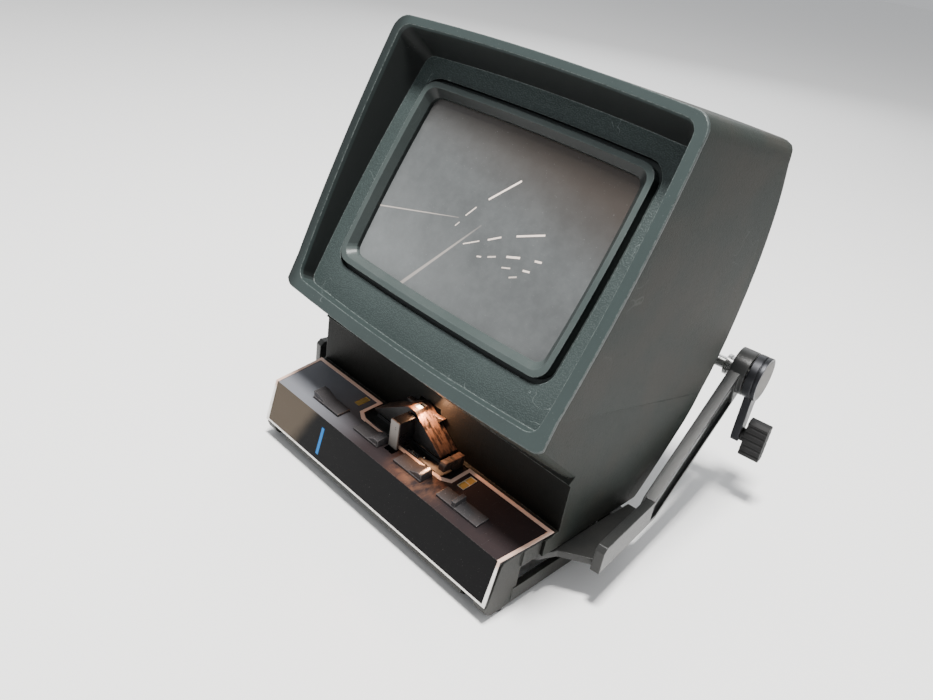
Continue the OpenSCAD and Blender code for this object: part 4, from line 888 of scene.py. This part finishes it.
class Finish(Enum):
    """Every finish of the viewer, each built once when it is first asked for."""

    SCREEN = Screen("screen_sheet", (0.105, 0.112, 0.114), tuple(row(*PLATE_AT)), PLATE_LEAN_DEG,
                    SCRATCHES)
    HOUSING = Paint("housing_skin", (0.025, 0.030, 0.027), (0.031, 0.031, 0.027), (0.15, 0.16, 0.15),
                    level=0.10, neck_top_mm=108.0)
    BASE = Paint("base_skin", (0.024, 0.027, 0.025), (0.030, 0.029, 0.026), (0.13, 0.14, 0.13),
                 edge_mm=0.7, level=0.20)
    FRAME = Paint("screen_frame_skin", (0.048, 0.062, 0.060), (0.054, 0.067, 0.065), (0.26, 0.30, 0.29),
                  rough=0.38, grain_mm=0.6, grain_depth_mm=0.02, edge_mm=0.8, scuff=0.2, level=0.28,
                  plate_normal=PLATE_NORMAL)
    ARM = Paint("arm_skin", (0.019, 0.020, 0.020), (0.026, 0.026, 0.025), (0.24, 0.25, 0.24),
                rough=0.34, grain_mm=0.8, grain_depth_mm=0.03, edge_mm=0.7, scuff=0.4, level=0.25)
    SHIELD = Wrinkle("shield_crinkle", (0.0035, 0.0035, 0.0038), (0.26, 0.16, 0.12))
    GRAIN = Pebble("bezel_grain", (0.032, 0.044, 0.043), (0.056, 0.074, 0.072), (0.24, 0.28, 0.27),
                   PLATE_NORMAL, tuple(row(*RIM_AT)), RIM_INWARD)
    PANEL = Gloss("panel_enamel", (0.0045, 0.0045, 0.005), (0.18, 0.085, 0.050),
                  tuple(row(*PAINTED_GLOW_AT)))
    # The trim's upper part takes a painted warm glow of the lamp's light
    TRIM = Metal("trim_bright", (0.74, 0.72, 0.69), (0.50, 0.45, 0.40), 0.30, 0.45,
                 brush=(0.05, 1.0, 1.0), warm=(0.62, 0.40, 0.31))
    STEEL = Metal("turned_steel", (0.56, 0.56, 0.55), (0.24, 0.23, 0.22), 0.26)
    PLATE = Metal("lever_silver", (0.19, 0.17, 0.155), (0.12, 0.11, 0.10), 0.45, 0.25,
                  brush=(1.0, 1.0, 0.05))
    DARK_STEEL = Metal("blackened_steel", (0.10, 0.10, 0.10), (0.05, 0.05, 0.05), 0.36)
    ZINC = Metal("die_cast_zinc", (0.36, 0.37, 0.38), (0.19, 0.19, 0.19), 0.4,
                 brush=(1.0, 1.0, 1.0))
    BRASS = Metal("turned_brass", (0.70, 0.50, 0.24), (0.32, 0.21, 0.11), 0.25)
    CRANK = Metal("crank_metal", (0.038, 0.039, 0.043), (0.020, 0.020, 0.023), 0.36, edge_mm=0.6)
    KEY = Moulding("key_slate", (0.050, 0.047, 0.049), (0.26, 0.23, 0.22), 0.20, wear=0.5,
                   dust=0.30)
    LEVER = Moulding("lever_black", (0.008, 0.008, 0.009), (0.12, 0.11, 0.10), 0.3, dust=0.12)
    KNOB = Moulding("knob_black", (0.001, 0.001, 0.0013), (0.04, 0.04, 0.045), 0.7, wear=0.25)
    INLAY = Moulding("crank_face_brown", (0.080, 0.070, 0.062), (0.26, 0.24, 0.22), 0.5, wear=0.3)
    RUBBER = Moulding("foot_rubber", (0.018, 0.018, 0.018), (0.10, 0.10, 0.10), 0.75, depth_mm=0.06)
    CERAMIC = Moulding("socket_ceramic", (0.62, 0.58, 0.50), (0.75, 0.72, 0.66), 0.35, wear=0.3)
    CORE = Layers("core_laminations", (0.20, 0.19, 0.18), (0.05, 0.04, 0.035), 0.5, "X", 0.8)
    COIL = Layers("coil_wire", (0.55, 0.25, 0.10), (0.12, 0.05, 0.02), 0.45, "Z", 0.75, 0.3)
    MIRROR = Metal("front_mirror", (0.92, 0.93, 0.93), (0.78, 0.79, 0.79), 0.03,
                   brush=(1.0, 1.0, 1.0))
    CLEAR = Glass("optical_glass", (0.93, 0.96, 0.95))
    BULB = Glass("lamp_glass", (0.97, 0.97, 0.95), 0.02, 1.46)
    FILAMENT = Glow("filament_wire", (1.0, 0.62, 0.28), 12.0)
    # Painted light: the aperture's patch glows, though it is no lamp
    APERTURE = Glow("painted_aperture_light", (1.0, 0.72, 0.50), 12.0)
    DOT = Print("stamped_dot", (0.02, 0.02, 0.02), (0.10, 0.09, 0.08))
    GOLD = Print("gold_print", (0.62, 0.42, 0.13), (0.20, 0.13, 0.05), 0.6)
    CREAM = Print("cream_print", (0.66, 0.58, 0.44), (0.10, 0.09, 0.08))
    BLUE = Print("blue_print", (0.0, 0.13, 0.40), (0.002, 0.05, 0.15))

    def material(self) -> bpy.types.Material:
        """Builds the finish's material the first time that it is asked for.

        Returns:
            The material.
        """
        if self not in MADE:
            MADE[self] = self.value.build()
        return MADE[self]


# The materials that have been built
MADE: dict[Finish, bpy.types.Material] = {}


def dress(obj: bpy.types.Object, finish: Finish) -> None:
    """Gives an object one finish."""
    obj.data.materials.clear()
    obj.data.materials.append(finish.material())


def choose_only(obj: bpy.types.Object) -> None:
    """Selects one object, deselects all others and makes it active.

    Args:
        obj: The object.
    """
    bpy.ops.object.select_all(action="DESELECT")
    obj.select_set(True)
    bpy.context.view_layer.objects.active = obj


def edit(obj: bpy.types.Object, work: Callable[[], None]) -> None:
    """Runs mesh operators on the whole of an object in edit mode.

    Args:
        obj: The object.
        work: Calls the operators.
    """
    choose_only(obj)
    bpy.ops.object.mode_set(mode="EDIT")
    bpy.ops.mesh.select_all(action="SELECT")
    work()
    bpy.ops.object.mode_set(mode="OBJECT")


def settle(obj: bpy.types.Object) -> None:
    """Applies an object's place and modifiers and smooths its shading by angle.

    Args:
        obj: The object.
    """
    choose_only(obj)
    bpy.ops.object.transform_apply(location=True, rotation=True, scale=True)
    for modifier in list(obj.modifiers):
        bpy.ops.object.modifier_apply(modifier=modifier.name)
    bpy.ops.object.shade_smooth_by_angle(angle=math.radians(SMOOTH_DEG))


def soften(node: str, width_mm: float) -> bpy.types.Object:
    """Copies a CAD node, joins its loose triangles and rounds its edges.

    Args:
        node: The CAD node's name.
        width_mm: Width of the rounding, 0 for none.

    Returns:
        The copy, which stands for the node.
    """
    source = NODES[node]
    copy = bpy.data.objects.new(node + "_finished", source.data.copy())
    bpy.context.scene.collection.objects.link(copy)

    def join() -> None:
        """Merges doubles, then removes the triangulation of flat faces."""
        bpy.ops.mesh.customdata_custom_splitnormals_clear()
        bpy.ops.mesh.remove_doubles(threshold=WIDE_MERGE_MM.get(node, MERGE_MM) * MM)
        bpy.ops.mesh.dissolve_limited(angle_limit=math.radians(FLAT_DEG))

    edit(copy, join)
    if width_mm > 0:
        bevel = copy.modifiers.new("rounding", "BEVEL")
        bevel.width = width_mm * MM
        bevel.segments = ROUND_SEGMENTS
        bevel.limit_method = "ANGLE"
        bevel.angle_limit = math.radians(ROUND_FROM_DEG)
        bevel.use_clamp_overlap = True
    settle(copy)
    weigh(copy)
    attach(copy, source["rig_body"])
    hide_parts(node)
    return copy


def weigh(obj: bpy.types.Object) -> None:
    """Weights an object's normals by the size of its faces, so that thin faces don't crease it.

    Args:
        obj: The object.
    """
    choose_only(obj)
    weights = obj.modifiers.new("weights", "WEIGHTED_NORMAL")
    weights.keep_sharp = True
    bpy.ops.object.modifier_apply(modifier=weights.name)


@dataclass
class Fine:
    """A piece modelled here, with the body that it rides on and its finish."""

    name: str
    body: str
    finish: Finish

    def keep(self, obj: bpy.types.Object) -> bpy.types.Object:
        """Names, applies, dresses and attaches a finished object.

        Args:
            obj: The modelled object.

        Returns:
            The same object.
        """
        obj.name = self.name
        obj.data.name = self.name
        settle(obj)
        dress(obj, self.finish)
        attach(obj, self.body)
        log.info("%s on %s", self.name, self.body)
        return obj


def slab(centre: Vector, size: Triple, turn_x_deg: float, round_mm: float) -> bpy.types.Object:
    """Adds a thin block with rounded corners.

    Args:
        centre: Its middle in the row frame.
        size: Its three sides in millimetres.
        turn_x_deg: Turn about X.
        round_mm: Rounding of its upright corners, 0 for none.

    Returns:
        The object, its place not yet applied.
    """
    bpy.ops.object.select_all(action="DESELECT")
    bpy.ops.mesh.primitive_cube_add(size=1.0, location=centre)
    obj = bpy.context.active_object
    obj.scale = [s * MM for s in size]
    bpy.ops.object.transform_apply(location=False, rotation=False, scale=True)
    if round_mm > 0:
        choose_only(obj)
        bpy.ops.object.mode_set(mode="EDIT")
        bpy.ops.mesh.select_all(action="DESELECT")
        bpy.ops.object.mode_set(mode="OBJECT")
        for line in obj.data.edges:
            a, b = (obj.data.vertices[i].co for i in line.vertices)
            line.select = abs(a.z - b.z) > UPRIGHT_RISE
        bpy.ops.object.mode_set(mode="EDIT")
        bpy.ops.mesh.bevel(offset=round_mm * MM, segments=CORNER_SEGMENTS, affect="EDGES")
        bpy.ops.object.mode_set(mode="OBJECT")
    obj.rotation_euler = Euler((math.radians(turn_x_deg), 0.0, 0.0))
    return obj


@dataclass
class PrintedMarks:
    """The plain cells and stripe that are printed on the control panel.

    The panel's bend, back and foot are depths and heights in the side view.
    """

    bend: Span = (6.5, 41.7)
    back: Span = (45.9, 45.1)
    foot: Span = (0.0, 12.5)
    ink_mm: float = 0.12
    border_mm: float = 0.5
    border_lift_mm: float = 0.02
    border_round_mm: float = 0.4
    cell: Span = (4.4, 5.0)
    cell_lift_mm: float = 0.08
    cell_round_mm: float = 0.25
    right_x: float = 49.5
    right_ys: Span = (33.1, 38.6)
    long_cell: Span = (4.6, 9.6)
    long_cell_at: Span = (-51.2, 36.8)
    long_cell_lift_mm: float = 0.05
    long_cell_round_mm: float = 0.3
    stripe_x: float = -50.0
    stripe_z: float = 26.5
    stripe_wide: float = 2.5
    stripe_tall: float = 19.0

    def on_top(self, x: float, y: float, lift: float) -> Vector:
        """Returns a point on the panel's sloping top, raised by lift."""
        rise = (self.back[1] - self.bend[1]) / (self.back[0] - self.bend[0])
        return row(x, y, self.bend[1] + (y - self.bend[0]) * rise + lift)

    @property
    def rise_deg(self) -> float:
        """Slope of the panel's top."""
        return math.degrees(math.atan2(self.back[1] - self.bend[1], self.back[0] - self.bend[0]))

    def cells(self, name: str, x: float, ys: Sequence[float]) -> None:
        """Prints gold cells with cream borders.

        Args:
            name: The pieces' name.
            x: Middle of the cells across the panel.
            ys: Middle of each cell in depth.
        """
        inner = (*self.cell, self.ink_mm)
        outer = (*(side + 2 * self.border_mm for side in self.cell), self.ink_mm)
        borders, fills = [], []
        for y in ys:
            low = self.on_top(x, y, self.border_lift_mm)
            borders.append(slab(low, outer, self.rise_deg, self.border_round_mm))
            high = self.on_top(x, y, self.cell_lift_mm)
            fills.append(slab(high, inner, self.rise_deg, self.cell_round_mm))
        Fine(name + "_border", "viewer", Finish.CREAM).keep(join_all(borders))
        Fine(name + "_fill", "viewer", Finish.GOLD).keep(join_all(fills))

    def stripe(self) -> None:
        """Prints the blue stripe on the panel's front."""
        lean = math.atan2(self.bend[0] - self.foot[0], self.bend[1] - self.foot[1])
        y = self.foot[0] + (self.stripe_z - self.foot[1]) * math.tan(lean)
        size = (self.stripe_wide, self.ink_mm, self.stripe_tall)
        obj = slab(row(self.stripe_x, y, self.stripe_z), size, -math.degrees(lean), 0.0)
        Fine("accent_stripe", "viewer", Finish.BLUE).keep(obj)

    def build(self) -> None:
        """Makes every printed mark."""
        self.cells("format_cells_right", self.right_x, self.right_ys)
        place = self.on_top(*self.long_cell_at, self.long_cell_lift_mm)
        single = (*self.long_cell, self.ink_mm)
        plain = slab(place, single, self.rise_deg, self.long_cell_round_mm)
        Fine("format_cell_left", "viewer", Finish.GOLD).keep(plain)
        self.stripe()


def join_all(objects: Sequence[bpy.types.Object]) -> bpy.types.Object:
    """Joins several new objects into one.

    Args:
        objects: The objects, their places not yet applied.

    Returns:
        The first object, which now holds all.
    """
    for obj in objects:
        choose_only(obj)
        bpy.ops.object.transform_apply(location=True, rotation=True, scale=True)
    bpy.ops.object.select_all(action="DESELECT")
    for obj in objects:
        obj.select_set(True)
    bpy.context.view_layer.objects.active = objects[0]
    if len(objects) > 1:
        bpy.ops.object.join()
    return objects[0]


@dataclass
class GateDetails:
    """A glowing patch of painted lamp light in the shield's aperture, the gate's stud, the lever's dots
    and the filament.

    Places are in the side view. The coil's radius and its wire's radius are one pair.
    """

    aperture_at: Triple = (-3.75, 42.3, 64.6)
    aperture_mm: Triple = (5.4, 4.6, 0.8)
    aperture_round_mm: float = 0.6
    stud_at: Triple = (16.4, 31.3, 43.5)
    stud_mm: float = 0.75
    dots_at: Sequence[Triple] = ((-1.3, 21.4, 59.4), (-1.4, 21.4, 58.0))
    dot_mm: float = 0.28
    dot_deep_mm: float = 0.12
    coil_at: Triple = (-2.35, 31.6, 20.5)
    coil_mm: Span = (1.5, 0.16)
    post_mm: float = 8.5

    @staticmethod
    def rod(at: Triple, radius_mm: float, length_mm: float, turn_x_deg: float) -> bpy.types.Object:
        """Adds a thin rod, upright where it isn't turned.

        Args:
            at: Its middle in the side view.
            radius_mm: Its radius.
            length_mm: Its length.
            turn_x_deg: Turn about X.

        Returns:
            The object.
        """
        bpy.ops.object.select_all(action="DESELECT")
        bpy.ops.mesh.primitive_cylinder_add(
            vertices=16, radius=radius_mm * MM, depth=length_mm * MM, location=row(*at),
            rotation=(math.radians(turn_x_deg), 0.0, 0.0))
        return bpy.context.active_object

    def filament(self) -> None:
        """Makes the lamp's coil with its two posts."""
        x, y, z = self.coil_at
        major, wire = self.coil_mm
        bpy.ops.object.select_all(action="DESELECT")
        bpy.ops.mesh.primitive_torus_add(
            major_segments=24, minor_segments=8, major_radius=major * MM,
            minor_radius=wire * MM, location=row(x, y, z))
        ring = bpy.context.active_object
        places = [(x + side * major, y, z - self.post_mm / 2) for side in (-1, 1)]
        posts = [self.rod(place, wire, self.post_mm, 0.0) for place in places]
        Fine("lamp_filament", "viewer", Finish.FILAMENT).keep(join_all([ring, *posts]))

    def build(self) -> None:
        """Makes every small piece."""
        # A glowing patch that paints the lamp's light in the shield's aperture
        painted_glow = slab(row(*self.aperture_at), self.aperture_mm, 0.0, self.aperture_round_mm)
        Fine("painted_aperture_glow", "viewer", Finish.APERTURE).keep(painted_glow)
        bpy.ops.object.select_all(action="DESELECT")
        bpy.ops.mesh.primitive_uv_sphere_add(
            segments=20, ring_count=12, radius=self.stud_mm * MM, location=row(*self.stud_at))
        Fine("gate_stud", "viewer", Finish.STEEL).keep(bpy.context.active_object)
        dots = [self.rod(at, self.dot_mm, self.dot_deep_mm, 90.0) for at in self.dots_at]
        Fine("lever_dots", "format_slide", Finish.DOT).keep(join_all(dots))
        self.filament()


@dataclass(frozen=True)
class Lamp:
    """A square soft light: its place, the point that it faces, its side in metres and its power."""

    name: str
    at: Triple
    aim: Triple
    side: float
    watts: float
    colour: Colour

    def hang(self) -> None:
        """Adds the light to the scene."""
        data = bpy.data.lights.new(self.name, "AREA")
        data.shape = "SQUARE"
        data.size = self.side
        data.energy = self.watts
        data.color = self.colour
        obj = bpy.data.objects.new(self.name, data)
        obj.location = self.at
        way = Vector(self.aim) - Vector(self.at)
        obj.rotation_euler = way.to_track_quat("-Z", "Y").to_euler()
        bpy.context.scene.collection.objects.link(obj)


# The viewer's middle, which the room's lights face, and the warm light of its own lamp
MIDDLE = (0.0, 0.0, 0.13)
WARM = (1.0, 0.50, 0.26)
LAMP_SIDE = 0.005

LAMPS = (
    Lamp("key_light", (0.06, -0.22, 1.6), MIDDLE, 0.26, 66.0, (1.0, 0.985, 0.96)),
    Lamp("side_fill", (1.5, 0.6, 0.8), MIDDLE, 1.2, 5.0, (1.0, 0.99, 0.97)),
    Lamp("back_fill", (-0.8, 1.3, 0.9), MIDDLE, 1.2, 8.0, (0.97, 0.99, 1.0)),
    Lamp("lamp_glow", tuple(row(-2.0, 40.0, 71.0)), tuple(row(4.0, 22.0, 42.0)),
         LAMP_SIDE, 0.014, WARM),
    Lamp("lamp_spill", tuple(row(4.0, 41.0, 70.0)), tuple(row(42.0, 47.0, 46.0)),
         LAMP_SIDE, 0.045, WARM),
)


@dataclass
class Studio:
    """Floor, surround, lights and camera, with the floor's and camera's places in metres."""

    floor_z: float
    place: Triple = (0.29670, -0.38916, 0.35490)
    turn_deg: Triple = (60.2177, -8.2183, 45.6302)
    focal_px: float = 838.0
    floor: Colour = (0.93, 0.93, 0.925)
    floor_dull: Colour = (0.90, 0.90, 0.90)
    floor_side: float = 12.0
    floor_mottle_mm: float = 120.0
    surround: Colour = (0.95, 0.97, 1.0)
    surround_strength: float = 0.55

    def build(self) -> None:
        """Builds the whole studio."""
        self.ground()
        self.sky()
        for lamp in LAMPS:
            lamp.hang()
        self.camera()

    def ground(self) -> None:
        """Adds the plain pale floor."""
        bpy.ops.object.select_all(action="DESELECT")
        bpy.ops.mesh.primitive_plane_add(size=self.floor_side, location=(0.0, 0.0, self.floor_z))
        plane = bpy.context.active_object
        plane.name = "floor"
        g = Graph("floor_paper")
        tone = g.noise(self.floor_mottle_mm, 2.0, 0.5)
        base = g.mix(tone * 0.25, self.floor, self.floor_dull)
        plane.data.materials.append(g.done(g.surface(Base_Color=base, Roughness=0.9)))

    def sky(self) -> None:
        """Sets an even pale surround."""
        world = bpy.data.worlds.new("surround")
        world.use_nodes = True
        back = world.node_tree.nodes["Background"]
        back.inputs["Color"].default_value = (*self.surround, 1.0)
        back.inputs["Strength"].default_value = self.surround_strength
        bpy.context.scene.world = world

    def camera(self) -> None:
        """Adds the camera at the photograph's viewing angle."""
        data = bpy.data.cameras.new("camera")
        data.sensor_width = SENSOR_MM
        data.lens = self.focal_px / PHOTO_WIDTH_PX * SENSOR_MM
        obj = bpy.data.objects.new("camera", data)
        obj.location = self.place
        obj.rotation_euler = tuple(math.radians(angle) for angle in self.turn_deg)
        bpy.context.scene.collection.objects.link(obj)
        bpy.context.scene.camera = obj


Look = tuple[Finish, Union[float, None]]

# Each CAD node's finish, and the rounding in millimetres of the nodes that are copied
CARRIED: dict[str, Look] = {
    "screen": (Finish.SCREEN, None),
    "base_frame": (Finish.BASE, 0.0),
    "feet": (Finish.RUBBER, None),
    "pan_screws": (Finish.STEEL, None),
    "cable_gland": (Finish.RUBBER, 0.3),
    "transformer_core": (Finish.CORE, None),
    "transformer_coil": (Finish.COIL, 0.8),
    "control_panel": (Finish.PANEL, 0.0),
    "panel_trim": (Finish.TRIM, None),
    "head_shell": (Finish.HOUSING, 0.0),
    "rear_cover": (Finish.HOUSING, 0.0),
    "cover_screws": (Finish.STEEL, None),
    "bezel_insert": (Finish.GRAIN, 0.0),
    "screen_frame": (Finish.FRAME, 0.6),
    "screen_clips": (Finish.STEEL, None),
    "main_mirror": (Finish.MIRROR, None),
    "mirror_bracket": (Finish.ZINC, None),
    "lens_cradle": (Finish.ZINC, None),
    "lens_barrel": (Finish.DARK_STEEL, None),
    "lens_glass": (Finish.CLEAR, None),
    "gate_bed": (Finish.DARK_STEEL, 0.0),
    "guide_blocks": (Finish.SHIELD, 0.3),
    "light_shield": (Finish.SHIELD, 0.3),
    "shaft_bearing": (Finish.BRASS, None),
    "condenser": (Finish.CLEAR, None),
    "condenser_holder": (Finish.ZINC, None),
    "lamp": (Finish.BULB, None),
    "lamp_socket": (Finish.CERAMIC, None),
    "reflector": (Finish.TRIM, None),
    "sprocket": (Finish.STEEL, None),
    "drive_gear": (Finish.BRASS, None),
    "prism": (Finish.CLEAR, None),
    "prism_pinion": (Finish.BRASS, None),
    "framing_mask": (Finish.DARK_STEEL, None),
    "frame_key": (Finish.KEY, 0.8),
    "focus_key": (Finish.KEY, 0.8),
    "mark_key": (Finish.KEY, 0.8),
    "lamp_key": (Finish.KEY, 0.8),
    "lamp_switch": (Finish.LEVER, None),
    "format_lever": (Finish.LEVER, 0.4),
    "lever_plate": (Finish.PLATE, 0.25),
    "lever_mirror": (Finish.MIRROR, None),
    "pivot_pins": (Finish.STEEL, None),
}

# The same for the nodes that come on both sides
PAIRED: dict[str, Look] = {
    "arm": (Finish.ARM, 0.5),
    "crank": (Finish.CRANK, 0.5),
    "spindle": (Finish.STEEL, 0.25),
    "crank_inlay": (Finish.INLAY, None),
    "knob": (Finish.KNOB, 0.7),
}
CARRIED.update({f"{node}_{side}": look for node, look in PAIRED.items() for side in ("right", "left")})


def box_shift(copy: bpy.types.Object, node: str) -> float:
    """Measures how far a copy's box differs from its CAD node's.

    Args:
        copy: The copy, its place applied.
        node: The CAD node's name.

    Returns:
        The largest difference of a side, in millimetres.
    """
    low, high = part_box(node)
    shifts = []
    for i in range(3):
        reached = [vertex.co[i] for vertex in copy.data.vertices]
        shifts += [abs(min(reached) - low[i]), abs(max(reached) - high[i])]
    return max(shifts) / MM


def carry() -> None:
    """Dresses every CAD node, copying those that get soft edges."""
    for node, (finish, width) in CARRIED.items():
        if width is None:
            dress(NODES[node], finish)
            continue
        copy = soften(node, width)
        dress(copy, finish)
        log.info("%s, box within %.2f mm", copy.name, box_shift(copy, node))


def main() -> None:
    """Builds everything in order and reports each piece."""
    logging.basicConfig(level=logging.INFO, format="%(name)s: %(message)s", stream=sys.stdout)
    carry()
    PrintedMarks().build()
    GateDetails().build()
    Studio(floor_z=CAD_BOX[0].z).build()


if __name__ == "__main__":
    main()
